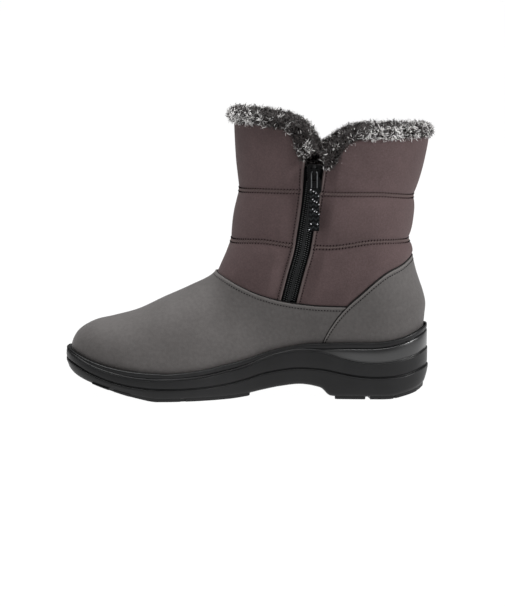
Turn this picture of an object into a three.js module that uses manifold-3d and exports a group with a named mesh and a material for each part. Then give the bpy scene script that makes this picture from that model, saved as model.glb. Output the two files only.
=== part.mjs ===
// A right snow boot: quilted ankle-high shaft with a fur collar, grey vamp and heel counter,
// a zip on the inner side and a black moulded unit sole.
// Millimetres, +Z up. The toe points along -X and the inner side of the foot faces -Y.
// The origin is on the floor under the middle of the heel's flat tread.
import * as THREE from 'three';
import { mergeVertices } from 'three/addons/utils/BufferGeometryUtils.js';
import Module from 'manifold-3d';

const wasm = await Module();
wasm.setup();

// Driving sizes of the last and the sole
const SOLE_LENGTH = 274; // heel to toe, size 38
const BALL_WIDTH = 102; // of the sole
const HEEL_SEAT = 38; // height of the cup's floor at the heel
const BALL_SEAT = 16; // height of the cup's floor at the ball
const TOE_SEAT = 33; // height of the cup's floor at the toe's tip
const HEEL_ORIGIN = 54; // from the back of the heel to the origin
const TOE_SHIFT = 7; // how far the toe's tip lies towards the inner side
const INSTEP_RISE = 73; // throat above the cup's floor
const COUNTER_RISE = 70; // top of the heel counter above the cup's floor
const SHAFT_RISE = 153.5; // back of the collar above the cup's floor
const SHAFT_WIDTH = 84;
const TOE_INSET = 7.5; // upper behind the sole's edge at the tip
const SIDE_INSET = 5.5; // upper inside the sole's edge along the sides
const HEEL_INSET = 5.6; // upper inside the sole's edge round the heel

// Walls, layers and clearances
const WALL = 3.6; // padded shaft, lining included
const VAMP_LAYER = 1.2;
const COUNTER_LAYER = 1.7;
const GAP = 0.3; // between touching pieces
const FEATHER_TUCK = 2.4; // how far the upper turns in at the sole
const QUILT_BULGE = 3.2;
const QUILT_BULGE_FRONT = 1.2;
const INSOLE_LAYER = 5;

// Sole
const TREAD_DEPTH = 2.2;
const GROOVE_DEPTH = 1.2;
const LIP_HEIGHT = 5.2; // cup wall above its floor
const HEEL_LIP_RISE = 11.5; // extra height of the lip at the back of the heel
const HEEL_HEIGHT_CLEAR = 12.3; // arch above the floor
const TOE_SPRING = 21;

// Zip
const ZIP_SLOT_TOP_WIDTH = 15;
const ZIP_SLOT_WIDTH = 12.5;
const ZIP_FOOT = 0.228; // bottom and top of the tape as shares of the shaft's rise
const ZIP_TOP = 0.9;
const TAPE_LAYER = 1.0;
const TAPE_DEPTH = 1.6; // tape's face below the upper's outer face
const CHAIN_WIDTH = 7.4;
const CHAIN_LAYER = 1.7;
const CHAIN_VALLEY = 0.55; // how far the chain sinks between two teeth
const CHAIN_PITCH = 2.6;
const SLIDER_BELOW = 8.4; // from the pull's axis down to the slider's foot
const SLIDER_LENGTH = 12;
const SLIDER_WIDTH = 10;
const SLIDER_LAYER = 3.5;
const CROWN = { width: 2.4, above: 3.6, below: 5.2, height: 4.2, bar: 1.0 };
const PULL_DROP = 17.1; // from the collar's height down to the pull's axis
const PULL_SHIFT = -0.343; // from the zip's middle towards the toe
const PULL_OUT = 1.6; // from the slider's face out to the pull's axis
const FUR_ROOM = { behind: 8.8, ahead: 9.7, above: 5.0, below: 24.4 }; // kept clear round the pull's axis
const TAB_LENGTH = 17;
const TAB_TOP_WIDTH = 6.6;
const TAB_WIDTH = 10.8;
const TAB_LAYER = 1.5;
const BAR_SIZE = 1.5; // bar that the tab turns on
const STRAP_LENGTH = 30;
const STRAP_WIDTH = 7.6;
const STRAP_LAYER = 1.3;

// Fur collar
const FUR_HALF_HEIGHT = 5.4;
const FUR_HALF_LAYER = 7;
const FUR_LIFT = 3; // middle of the roll above the fabric's edge
const FUR_FILL = 3; // extra height of the roll beside the zip
const FUR_RINGS = 20; // along each half of the collar
const FUR_POINTS = 8; // round the roll
const LOCK_LENGTH = 8;
const LOCK_WIDTH = 10;
const LOCK_SINK = 4.6; // root of a lock inside the roll

// Mesh fineness
const STATIONS = 19; // round each half of a section
const SOLE_STATIONS = 26;
const FOOT_ROWS = [0, 0.5, 1, 1.5, 2, 2.5, 3, 3.5, 4, 4.5, 5, 5.5, 6, 6.6, 7.3, 8];
const SHAFT_ROWS = [8.6, 9.3, 9.8, 10, 10.3, 11, 11.7, 12, 12.3, 13, 13.6, 14];
const LINING_ROWS = [0, 1, 2, 3, 4, 5, 6, 7, 8, 9, 10, 11, 12, 13, 14];

const throatHeight = HEEL_SEAT + INSTEP_RISE;

// Straight-line helpers
const lerp = (a, b, t) => a + (b - a) * t;
const clamp = (x, low, high) => Math.min(high, Math.max(low, x));
const smooth = (low, high, x) => {
  const t = clamp((x - low) / (high - low), 0, 1);
  return t * t * (3 - 2 * t);
};

// A smooth curve through a table's rows that never overshoots them.
function tableCurve(rows, xName, yName, xScale = 1, yScale = 1) {
  const x = rows.map((row) => row[xName] * xScale);
  const y = rows.map((row) => row[yName] * yScale);
  const step = (i) => (y[i + 1] - y[i]) / (x[i + 1] - x[i]);
  const slope = y.map((_, i) => {
    if (i === 0) return step(0);
    if (i === y.length - 1) return step(i - 1);
    const before = step(i - 1);
    const after = step(i);
    return before * after <= 0 ? 0 : (2 * before * after) / (before + after);
  });
  return (at) => {
    if (at <= x[0]) return y[0];
    if (at >= x[x.length - 1]) return y[y.length - 1];
    let i = 0;
    while (at > x[i + 1]) i += 1;
    const h = x[i + 1] - x[i];
    const t = (at - x[i]) / h;
    const t2 = t * t;
    const t3 = t2 * t;
    return (
      y[i] * (2 * t3 - 3 * t2 + 1) +
      slope[i] * h * (t3 - 2 * t2 + t) +
      y[i + 1] * (3 * t2 - 2 * t3) +
      slope[i + 1] * h * (t3 - t2)
    );
  };
}

// The sole's outline seen from above. along: share of the sole's length from the heel.
// inner and outer: half-widths to each side as shares of the ball's width, before the ends close.
const OUTLINE = [
  { along: 0.0, inner: 0.355, outer: 0.355 },
  { along: 0.13, inner: 0.355, outer: 0.362 },
  { along: 0.25, inner: 0.342, outer: 0.37 },
  { along: 0.36, inner: 0.3, outer: 0.385 },
  { along: 0.45, inner: 0.296, outer: 0.405 },
  { along: 0.55, inner: 0.35, outer: 0.455 },
  { along: 0.65, inner: 0.44, outer: 0.5 },
  { along: 0.72, inner: 0.472, outer: 0.505 },
  { along: 0.8, inner: 0.475, outer: 0.478 },
  { along: 0.9, inner: 0.465, outer: 0.425 },
  { along: 1.0, inner: 0.455, outer: 0.37 },
];
const TOE_CLOSING = { start: 0.755, power: 2.3 };
const HEEL_CLOSING = { end: 0.135, power: 2.1 };

// Heights of the sole's lines along the foot, as shares of the named height beside each column:
// tread and arch of the arch's height, seat between ball and heel, the rest of the heel's seat.
const SOLE_LINES = [
  { along: 0.0, arch: 1.26, groove: 0.62, crescent: 0.955 },
  { along: 0.012, arch: 0.82, groove: 0.6, crescent: 0.93 },
  { along: 0.03, arch: 0.57, groove: 0.56, crescent: 0.87 },
  { along: 0.065, arch: 0.36, groove: 0.49, crescent: 0.81 },
  { along: 0.11, arch: 0.19, groove: 0.45, crescent: 0.755 },
  { along: 0.15, arch: 0.17, groove: 0.443, crescent: 0.735 },
  { along: 0.19, arch: 0.17, groove: 0.46, crescent: 0.75 },
  { along: 0.24, arch: 0.17, groove: 0.52, crescent: 0.83 },
  { along: 0.272, arch: 0.23, groove: 0.57, crescent: 0.91 },
  { along: 0.3, arch: 0.72, groove: 0.6, crescent: 0.955 },
  { along: 0.355, arch: 0.9, groove: 0.618, crescent: 0.97 },
  { along: 0.41, arch: 0.76, groove: 0.575, crescent: 0.9 },
  { along: 0.46, arch: 0.53, groove: 0.5, crescent: 0.78 },
  { along: 0.505, arch: 0.32, groove: 0.4, crescent: 0.645 },
  { along: 0.56, arch: 0.2, groove: 0.315, crescent: 0.545 },
  { along: 0.62, arch: 0.17, groove: 0.27, crescent: 0.475 },
  { along: 0.65, arch: 0.17, groove: 0.26, crescent: 0.455 },
  { along: 0.68, arch: 0.17, groove: 0.255, crescent: 0.44 },
  { along: 0.74, arch: 0.17, groove: 0.26, crescent: 0.43 },
  { along: 0.8, arch: 0.38, groove: 0.3, crescent: 0.46 },
  { along: 0.87, arch: 0.71, groove: 0.4, crescent: 0.555 },
  { along: 0.93, arch: 1.09, groove: 0.545, crescent: 0.69 },
  { along: 0.975, arch: 1.5, groove: 0.7, crescent: 0.85 },
  { along: 1.0, arch: 1.9, groove: 0.78, crescent: 0.93 },
];

// The cup's floor: share of the way from the ball's height up to the heel's or the toe's.
const SEAT_LINE = [
  { along: 0.0, rise: 1.0 },
  { along: 0.2, rise: 1.0 },
  { along: 0.32, rise: 0.95 },
  { along: 0.42, rise: 0.74 },
  { along: 0.5, rise: 0.42 },
  { along: 0.57, rise: 0.22 },
  { along: 0.65, rise: 0.06 },
  { along: 0.72, rise: 0.0 },
];
const TOE_SEAT_LINE = [
  { along: 0.72, rise: 0.0 },
  { along: 0.8, rise: 0.09 },
  { along: 0.87, rise: 0.26 },
  { along: 0.93, rise: 0.52 },
  { along: 1.0, rise: 1.0 },
];

// Sections of the upper from the feather edge to the collar, each a slanted oval from heel to front.
// Foot rows: front along the sole's length and up by a share of the instep's rise above the cup's
// floor there; back inset as a share of the ball's width, up by a share of the counter's rise.
const FOOT_SECTIONS = [
  { front: 0.981, frontUp: 0.0, back: 0.05, backUp: 0.0, roundFront: 0.3, roundBack: 0.36 },
  { front: 0.981, frontUp: 0.1, back: 0.052, backUp: 0.17, roundFront: 0.3, roundBack: 0.36 },
  { front: 0.9645, frontUp: 0.259, back: 0.043, backUp: 0.33, roundFront: 0.3, roundBack: 0.37 },
  { front: 0.9215, frontUp: 0.422, back: 0.037, backUp: 0.45, roundFront: 0.3, roundBack: 0.39 },
  { front: 0.865, frontUp: 0.525, back: 0.055, backUp: 0.57, roundFront: 0.3, roundBack: 0.42 },
  { front: 0.8, frontUp: 0.624, back: 0.083, backUp: 0.69, roundFront: 0.33, roundBack: 0.45 },
  { front: 0.73, frontUp: 0.765, back: 0.107, backUp: 0.8, roundFront: 0.4, roundBack: 0.48 },
  { front: 0.657, frontUp: 0.873, back: 0.126, backUp: 0.91, roundFront: 0.46, roundBack: 0.51 },
  { front: 0.5895, frontUp: 0.971, back: 0.14, backUp: 1.014, roundFront: 0.52, roundBack: 0.53 },
];
// Shaft rows: both heights are shares of the shaft's rise above the heel's seat.
const SHAFT_SECTIONS = [
  { front: 0.5575, frontUp: 0.44, back: 0.15, backUp: 0.488, roundFront: 0.57, roundBack: 0.54 },
  { front: 0.5445, frontUp: 0.521, back: 0.153, backUp: 0.5185, roundFront: 0.6, roundBack: 0.56 },
  { front: 0.5335, frontUp: 0.645, back: 0.143, backUp: 0.63, roundFront: 0.62, roundBack: 0.58 },
  { front: 0.5225, frontUp: 0.765, back: 0.116, backUp: 0.738, roundFront: 0.64, roundBack: 0.6 },
  { front: 0.527, frontUp: 0.925, back: 0.079, backUp: 0.87, roundFront: 0.66, roundBack: 0.63 },
  { front: 0.5335, frontUp: 1.114, back: 0.027, backUp: 1.039, roundFront: 0.68, roundBack: 0.66 },
];
// Half-width of the shaft by height above the heel's seat, as a share of the shaft's width.
const SHAFT_HALF = [
  { up: 0.0, half: 0.455 },
  { up: 0.45, half: 0.47 },
  { up: 0.75, half: 0.485 },
  { up: 1.1, half: 0.515 },
];

// Quilt seams by height above the heel's seat, along the sole's length.
const SEAMS = [
  { along: 0.04, lower: 0.52, upper: 0.738 },
  { along: 0.15, lower: 0.531, upper: 0.764 },
  { along: 0.28, lower: 0.508, upper: 0.769 },
  { along: 0.36, lower: 0.513, upper: 0.78 },
  { along: 0.46, lower: 0.532, upper: 0.778 },
  { along: 0.545, lower: 0.52, upper: 0.765 },
];

// Edges of the overlays seen from the side: heights above the heel's seat as shares of the
// counter's rise.
const VAMP_EDGE = [
  { along: 0.2, up: 0.455 },
  { along: 0.3, up: 0.462 },
  { along: 0.36, up: 0.482 },
  { along: 0.41, up: 0.516 },
  { along: 0.465, up: 0.575 },
  { along: 0.525, up: 0.672 },
  { along: 0.561, up: 0.742 },
  { along: 0.588, up: 0.79 },
  { along: 0.62, up: 0.86 },
];
const COUNTER_EDGE = [
  { along: -0.03, up: 1.06 },
  { along: 0.04, up: 0.985 },
  { along: 0.081, up: 0.885 },
  { along: 0.118, up: 0.82 },
  { along: 0.154, up: 0.715 },
  { along: 0.19, up: 0.588 },
  { along: 0.219, up: 0.484 },
  { along: 0.249, up: 0.35 },
  { along: 0.27, up: 0.222 },
  { along: 0.285, up: 0.11 },
  { along: 0.3, up: -0.05 },
  { along: 0.31, up: -0.3 },
];

// Middle line of the zip, from the vamp's edge to the top, and the dip of the collar over it.
const ZIP_LINE = [
  { up: 0.2, along: 0.391 },
  { up: 0.38, along: 0.3668 },
  { up: 0.491, along: 0.3504 },
  { up: 0.57, along: 0.3431 },
  { up: 0.68, along: 0.3336 },
  { up: 0.793, along: 0.3255 },
  { up: 0.93, along: 0.3175 },
];
const NOTCH = [
  { along: 0, dip: 0 },
  { along: 0.05, dip: 0.03 },
  { along: 0.109, dip: 0.1 },
  { along: 0.168, dip: 0.146 },
  { along: 0.197, dip: 0.19 },
  { along: 0.215, dip: 0.283 },
  { along: 0.231, dip: 0.417 },
  { along: 0.2445, dip: 0.61 },
  { along: 0.26, dip: 0.883 },
  { along: 0.2755, dip: 1.033 },
  { along: 0.2956, dip: 1.1 },
  { along: 0.321, dip: 1.08 },
  { along: 0.341, dip: 0.92 },
  { along: 0.353, dip: 0.704 },
  { along: 0.36, dip: 0.4625 },
  { along: 0.3686, dip: 0.23 },
  { along: 0.385, dip: 0.117 },
  { along: 0.409, dip: 0.025 },
  { along: 0.438, dip: 0.0 },
];
const NOTCH_DEPTH = 24;
// The outer side's notch is a plain V, a little further back.
const OUTER_NOTCH = [
  { along: 0, dip: 0 },
  { along: 0.05, dip: 0.09 },
  { along: 0.109, dip: 0.17 },
  { along: 0.168, dip: 0.265 },
  { along: 0.197, dip: 0.335 },
  { along: 0.219, dip: 0.445 },
  { along: 0.237, dip: 0.59 },
  { along: 0.2555, dip: 0.755 },
  { along: 0.2737, dip: 0.91 },
  { along: 0.29, dip: 1.0 },
  { along: 0.3066, dip: 1.05 },
  { along: 0.3175, dip: 0.92 },
  { along: 0.3277, dip: 0.74 },
  { along: 0.3412, dip: 0.46 },
  { along: 0.3562, dip: 0.3 },
  { along: 0.387, dip: 0.16 },
  { along: 0.416, dip: 0.09 },
  { along: 0.438, dip: 0.06 },
  { along: 0.48, dip: 0.02 },
  { along: 0.52, dip: 0 },
];
const OUTER_NOTCH_DEPTH = 24;
const OUTER_NOTCH_MIDDLE = 0.3066 * SOLE_LENGTH;

// Lines of the sole
const halfInner = tableCurve(OUTLINE, 'along', 'inner', SOLE_LENGTH, BALL_WIDTH);
const halfOuter = tableCurve(OUTLINE, 'along', 'outer', SOLE_LENGTH, BALL_WIDTH);
const archLine = tableCurve(SOLE_LINES, 'along', 'arch', SOLE_LENGTH, HEEL_HEIGHT_CLEAR);
const grooveLine = tableCurve(SOLE_LINES, 'along', 'groove', SOLE_LENGTH, HEEL_SEAT);
const crescentLine = tableCurve(SOLE_LINES, 'along', 'crescent', SOLE_LENGTH, HEEL_SEAT);
const seatRise = tableCurve(SEAT_LINE, 'along', 'rise', SOLE_LENGTH);
const toeSeatRise = tableCurve(TOE_SEAT_LINE, 'along', 'rise', SOLE_LENGTH);

const seatHeight = (f) =>
  BALL_SEAT + (HEEL_SEAT - BALL_SEAT) * seatRise(f) + (TOE_SEAT - BALL_SEAT) * toeSeatRise(f);
const lipHeight = (f) => {
  const back = 1 - clamp(f / (0.17 * SOLE_LENGTH), 0, 1);
  return seatHeight(f) + LIP_HEIGHT + HEEL_LIP_RISE * back * back;
};
// Middle line of the forefoot, which turns towards the inner side at the toe.
const ridgeLine = (f) => -TOE_SHIFT * smooth(0.5 * SOLE_LENGTH, SOLE_LENGTH, f);

// Closing factor of an end: 1 at its start and 0 at its tip, like a round corner.
const closing = (share, power) => Math.pow(1 - Math.pow(clamp(share, 0, 1), power), 1 / power);

// Half-plan of the foot at the sole's edge or inset from it. side: -1 inner, 1 outer.
function planWidth(f, side, inset, tip) {
  const half = side < 0 ? halfInner(f) : halfOuter(f);
  const ridge = ridgeLine(f);
  const start = TOE_CLOSING.start * SOLE_LENGTH;
  const toe = closing((f - start) / (tip - start), TOE_CLOSING.power);
  return ridge + (side * (half - inset) - ridge) * toe;
}

// Front and back profile of the upper, as smooth curves through the sections.
function sectionPoints() {
  const foot = FOOT_SECTIONS.map((row) => {
    const front = row.front * SOLE_LENGTH;
    return {
      ...row,
      frontF: front,
      frontZ: seatHeight(front) + row.frontUp * INSTEP_RISE,
      backF: row.back * BALL_WIDTH,
      backZ: HEEL_SEAT + row.backUp * COUNTER_RISE,
    };
  });
  const shaft = SHAFT_SECTIONS.map((row) => ({
    ...row,
    frontF: row.front * SOLE_LENGTH,
    frontZ: HEEL_SEAT + row.frontUp * SHAFT_RISE,
    backF: row.back * BALL_WIDTH,
    backZ: HEEL_SEAT + row.backUp * SHAFT_RISE,
  }));
  return [...foot, ...shaft];
}
const SECTIONS = sectionPoints();
const LAST_SECTION = SECTIONS.length - 1;
const SEAM_SECTIONS = { lower: 10, upper: 12 };

const profileCurve = (fName, zName) =>
  new THREE.CatmullRomCurve3(
    SECTIONS.map((row) => new THREE.Vector3(row[fName], 0, row[zName])),
    false,
    'centripetal',
  );
const frontCurve = profileCurve('frontF', 'frontZ');
const backCurve = profileCurve('backF', 'backZ');
const roundFront = tableCurve(
  SECTIONS.map((row, i) => ({ i, round: row.roundFront })), 'i', 'round', 1, BALL_WIDTH);
const roundBack = tableCurve(
  SECTIONS.map((row, i) => ({ i, round: row.roundBack })), 'i', 'round', 1, BALL_WIDTH);

// Samples of both profiles, to measure how far a point lies behind or in front of them.
const PROFILE_SAMPLES = 170;
const sampled = (curve) =>
  Array.from({ length: PROFILE_SAMPLES + 1 }, (_, i) => curve.getPoint(i / PROFILE_SAMPLES));
const frontSamples = sampled(frontCurve);
const backSamples = sampled(backCurve);

function nearest(samples, f, z) {
  let best = Infinity;
  let at = 0;
  for (let i = 0; i < samples.length - 1; i += 1) {
    const a = samples[i];
    const b = samples[i + 1];
    const df = b.x - a.x;
    const dz = b.z - a.z;
    const t = clamp(((f - a.x) * df + (z - a.z) * dz) / (df * df + dz * dz), 0, 1);
    const gap = Math.hypot(f - a.x - t * df, z - a.z - t * dz);
    if (gap < best) {
      best = gap;
      at = i + t;
    }
  }
  return { gap: best, section: (at / PROFILE_SAMPLES) * LAST_SECTION };
}

// Height of the vamp's middle line in front of the shaft.
function vampHeight(f) {
  for (let i = frontSamples.length - 1; i > 0; i -= 1) {
    const a = frontSamples[i - 1];
    const b = frontSamples[i];
    if (a.x >= f && b.x <= f && a.x > b.x) {
      return lerp(b.z, a.z, (f - b.x) / (a.x - b.x));
    }
  }
  return frontSamples[0].z;
}

const shaftHalf = tableCurve(SHAFT_HALF, 'up', 'half', SHAFT_RISE, SHAFT_WIDTH);
const TIP = FOOT_SECTIONS[0].front * SOLE_LENGTH + GAP;
const SECTION_POWER = 2.15;
const rounding = (share) => closing(1 - clamp(share, 0, 1), SECTION_POWER);
const FLARE_START = 12; // height above the seat where the foot starts to become the shaft
const FLARE_END = 80;
const VAMP_ROUND = 0.82; // share of the vamp's height over which it rounds off
const VAMP_BLEND = { start: 0.6, end: 0.7 }; // along the foot

// How far the foot has become the shaft at a point, from 0 to 1.
const flareAt = (f, z) =>
  smooth(FLARE_START, FLARE_END, z - HEEL_SEAT) *
  (1 - smooth(VAMP_BLEND.start * SOLE_LENGTH, VAMP_BLEND.end * SOLE_LENGTH, f));
const middleLine = (f, z) => ridgeLine(f) * (1 - flareAt(f, z));

// The last: sideways place of the upper's outer face at a point seen from the side.
function lastSide(f, z, side) {
  const up = z - HEEL_SEAT;
  const forefoot = smooth(VAMP_BLEND.start * SOLE_LENGTH, VAMP_BLEND.end * SOLE_LENGTH, f);
  const inset = lerp(HEEL_INSET, SIDE_INSET, smooth(0, 0.3 * SOLE_LENGTH, f));
  const foot = planWidth(f, side, inset, TIP);
  const full = lerp(foot, side * shaftHalf(up), flareAt(f, z));
  const ridge = middleLine(f, z);
  const back = nearest(backSamples, f, z);
  const backPart = f < 0.5 * SOLE_LENGTH ? rounding(back.gap / roundBack(back.section)) : 1;
  let frontPart = 1;
  if (forefoot < 1) {
    const front = nearest(frontSamples, f, z);
    frontPart = rounding(front.gap / roundFront(front.section));
  }
  if (forefoot > 0) {
    const top = vampHeight(f);
    const depth = (top - seatHeight(f)) * VAMP_ROUND;
    frontPart = lerp(frontPart, rounding((top - z) / depth), forefoot);
  }
  return ridge + (full - ridge) * frontPart * backPart;
}

// Edges of the overlays and seams as heights along the foot.
const vampEdge = tableCurve(VAMP_EDGE, 'along', 'up', SOLE_LENGTH, COUNTER_RISE);
const counterEdge = tableCurve(COUNTER_EDGE, 'along', 'up', SOLE_LENGTH, COUNTER_RISE);
const lowerSeam = tableCurve(SEAMS, 'along', 'lower', SOLE_LENGTH, SHAFT_RISE);
const upperSeam = tableCurve(SEAMS, 'along', 'upper', SOLE_LENGTH, SHAFT_RISE);
const zipMiddle = tableCurve(ZIP_LINE, 'up', 'along', SHAFT_RISE, SOLE_LENGTH);
const innerDip = tableCurve(NOTCH, 'along', 'dip', SOLE_LENGTH, NOTCH_DEPTH);
const outerDip = tableCurve(OUTER_NOTCH, 'along', 'dip', SOLE_LENGTH, OUTER_NOTCH_DEPTH);
const notchDip = (f, inner) => (inner ? innerDip(f) : outerDip(f));
const overlayEdge = (f) => Math.max(vampEdge(f), counterEdge(f));

const collarFront = SECTIONS[LAST_SECTION];
const collarHeight = (f) =>
  lerp(
    collarFront.backZ,
    collarFront.frontZ,
    (f - collarFront.backF) / (collarFront.frontF - collarFront.backF),
  );

// Half-width of the zip's slot at a height above the heel's seat.
const slotHalf = (up) => lerp(ZIP_SLOT_WIDTH, ZIP_SLOT_TOP_WIDTH, smooth(0.7, 0.95, up / SHAFT_RISE)) / 2;

// Thickness of the padding: three bands between seams, flat beside the zip.
const BAND_POWER = 3.2;
const ZIP_FLAT = { near: 3, far: 13 };
const COLLAR_TURN = 16; // the top band thins out towards the collar over this height
function quilt(f, z, side) {
  const up = z - HEEL_SEAT;
  const seams = [overlayEdge(f), lowerSeam(f), upperSeam(f), collarHeight(f) - HEEL_SEAT + COLLAR_TURN];
  const band = seams.findIndex((edge, i) => i < 3 && up >= edge && up < seams[i + 1]);
  if (band < 0) return 0;
  const t = (up - seams[band]) / (seams[band + 1] - seams[band]);
  const pad = 1 - Math.pow(Math.abs(2 * t - 1), BAND_POWER);
  const size = lerp(QUILT_BULGE, QUILT_BULGE_FRONT, smooth(0.42 * SOLE_LENGTH, 0.53 * SOLE_LENGTH, f));
  const toZip = Math.abs(f - zipMiddle(up)) - slotHalf(up);
  const beside = side < 0 ? smooth(ZIP_FLAT.near, ZIP_FLAT.far, toZip) : 1;
  return size * pad * beside;
}

// A point of section v (0 at the feather edge) at angle a: 0 at the heel, PI at the front.
const SAG_SECTIONS = 6;
function lastPoint(v, a) {
  const share = clamp(v, 0, LAST_SECTION) / LAST_SECTION;
  const front = frontCurve.getPoint(share);
  const back = backCurve.getPoint(share);
  const t = (1 - Math.cos(a)) / 2;
  const f = lerp(back.x, front.x, t);
  const level = lerp(seatHeight(back.x), seatHeight(front.x), t);
  const sag = Math.pow(Math.max(0, 1 - v / SAG_SECTIONS), 2);
  const beyond = (v - clamp(v, 0, LAST_SECTION)) * (SECTIONS[LAST_SECTION].backZ - SECTIONS[LAST_SECTION - 1].backZ);
  const z = lerp(back.z, front.z, t) + sag * (seatHeight(f) - level);
  const side = Math.sin(a) >= 0 ? -1 : 1;
  const onMiddle = Math.abs(Math.sin(a)) < 1e-9;
  return new THREE.Vector3(f, onMiddle ? middleLine(f, z) : lastSide(f, z, side), z);
}

// Outward direction at that point.
function lastNormal(v, a) {
  const dv = 0.04;
  const da = 0.03;
  const low = clamp(v, 0, LAST_SECTION);
  const along = lastPoint(Math.min(low + dv, LAST_SECTION), a).sub(lastPoint(Math.max(low - dv, 0), a));
  const round = lastPoint(low, a + da).sub(lastPoint(low, a - da));
  return round.cross(along).normalize();
}

// The upper's own function: the last, moved outward by the padding and an offset.
function upperPoint(v, a, offset, padded = true) {
  const p = lastPoint(v, a);
  const side = Math.sin(a) >= 0 ? -1 : 1;
  const tuck = FEATHER_TUCK * Math.pow(1 - clamp((p.z - seatHeight(p.x)) / 10, 0, 1), 2);
  const pad = padded ? quilt(p.x, p.z, side) : 0;
  const q = p.clone().addScaledVector(lastNormal(v, a), pad - tuck + offset);
  if (v <= 0) q.z = seatHeight(q.x) + GAP;
  return q;
}

// From the shoe's own lengths (f forward of the heel) to the part's frame.
const toFrame = (p) => new THREE.Vector3(HEEL_ORIGIN - p.x, p.y, p.z);

// A solid from closed rings of equal length, with strips across the first and last ring.
// Each ring runs heel, inner side, toe, outer side.
function ringsToSolid(rings) {
  const n = rings[0].length;
  const positions = rings.flatMap((ring) => ring.flatMap((p) => toFrame(p).toArray()));
  const index = [];
  const at = (r, i) => r * n + ((i + n) % n);
  for (let r = 0; r < rings.length - 1; r += 1) {
    for (let i = 0; i < n; i += 1) {
      index.push(at(r, i), at(r + 1, i + 1), at(r, i + 1), at(r, i), at(r + 1, i), at(r + 1, i + 1));
    }
  }
  const cap = (r, flip) => {
    for (let i = 0; i < n / 2; i += 1) {
      const quad = [at(r, i), at(r, i + 1), at(r, n - i - 1), at(r, n - i)];
      const faces = [[quad[0], quad[1], quad[2]], [quad[0], quad[2], quad[3]]];
      faces
        .filter((face) => new Set(face).size === 3)
        .forEach((face) => index.push(...(flip ? face : face.reverse())));
    }
  };
  cap(0, true);
  cap(rings.length - 1, false);
  return solidFrom(positions, index);
}

// A wall from two stacks of rings, joined at both ends.
function wallToSolid(outer, inner) {
  const n = outer[0].length;
  const loop = [...outer, ...[...inner].reverse()];
  const positions = loop.flatMap((ring) => ring.flatMap((p) => toFrame(p).toArray()));
  const index = [];
  const at = (r, i) => (r % loop.length) * n + ((i + n) % n);
  for (let r = 0; r < loop.length; r += 1) {
    for (let i = 0; i < n; i += 1) {
      const quad = [at(r, i), at(r + 1, i), at(r + 1, i + 1), at(r, i + 1)];
      // Both faces of the wall split their quads the same way, so that layers stay apart.
      const turn = r < outer.length ? 0 : 1;
      const [a, b, c, d] = [...quad.slice(turn), ...quad.slice(0, turn)];
      index.push(a, b, c, a, c, d);
    }
  }
  return solidFrom(positions, index);
}

function solidFrom(positions, index) {
  const geometry = new THREE.BufferGeometry();
  geometry.setAttribute('position', new THREE.Float32BufferAttribute(positions, 3));
  geometry.setIndex(index);
  return toSolid(geometry);
}

// A closed three.js geometry as a solid for cutting and joining.
function toSolid(geometry) {
  const bare = geometry.clone();
  bare.deleteAttribute('normal');
  bare.deleteAttribute('uv');
  const merged = mergeVertices(bare, 1e-4);
  const solid = new wasm.Manifold(
    new wasm.Mesh({
      numProp: 3,
      vertProperties: new Float32Array(merged.attributes.position.array),
      triVerts: new Uint32Array(merged.index.array),
    }),
  );
  return solid;
}

// A finished solid as a three.js geometry.
function toGeometry(solid) {
  const mesh = solid.getMesh();
  const geometry = new THREE.BufferGeometry();
  geometry.setAttribute('position', new THREE.BufferAttribute(new Float32Array(mesh.vertProperties), 3));
  geometry.setIndex(new THREE.BufferAttribute(new Uint32Array(mesh.triVerts), 1));
  geometry.computeVertexNormals();
  return geometry;
}

// A block seen from the side, from a closed outline of [f, z], between two sideways places.
const sideBlock = (outline, yLow, yHigh) => facingBlock(outline, [], yLow, yHigh);

const angles = Array.from({ length: 2 * STATIONS }, (_, i) => (Math.PI * i) / STATIONS);
const upperRings = (rows, offset, padded) =>
  rows.map((v) => angles.map((a) => upperPoint(v, a, offset, padded)));

const FAR_SIDE = 90; // clear of both sides of the boot

// The hollow upper, with the zip's slot and a notch cut through its inner side, and a notch in
// the outer.
// grow makes it thicker all round, to cut clearance for a neighbour.
function upperWall(outerRows, liningRows, grow) {
  const outer = upperRings(outerRows, grow, true);
  const lining = upperRings(liningRows, -WALL - grow, false);
  [outer, lining].forEach((rings) => rings[rings.length - 1].forEach((p) => {
    p.z += grow;
  }));
  return wallToSolid(outer, lining)
    .subtract(zipSlot(-grow))
    .subtract(notchBlock(NOTCH, NOTCH_DEPTH, -grow, -FAR_SIDE, -SHAFT_WIDTH / 6 - grow))
    .subtract(notchBlock(OUTER_NOTCH, OUTER_NOTCH_DEPTH, -grow, SHAFT_WIDTH / 6 + grow, FAR_SIDE));
}
const makeUpper = () => upperWall([...FOOT_ROWS, ...SHAFT_ROWS], LINING_ROWS, 0);

// The zip's slot seen from the side, widened or narrowed by an amount.
function zipSlot(grow) {
  const heights = Array.from({ length: 9 }, (_, i) => lerp(0.224, 0.95, i / 8) * SHAFT_RISE);
  heights.push(0.99 * SHAFT_RISE);
  const edge = (sign) => heights.map((up) => [zipMiddle(up) + sign * (slotHalf(up) + grow), HEEL_SEAT + up]);
  const outline = [...edge(-1), ...edge(1).reverse()];
  return sideBlock(outline, -FAR_SIDE, -SHAFT_WIDTH / 6);
}

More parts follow.
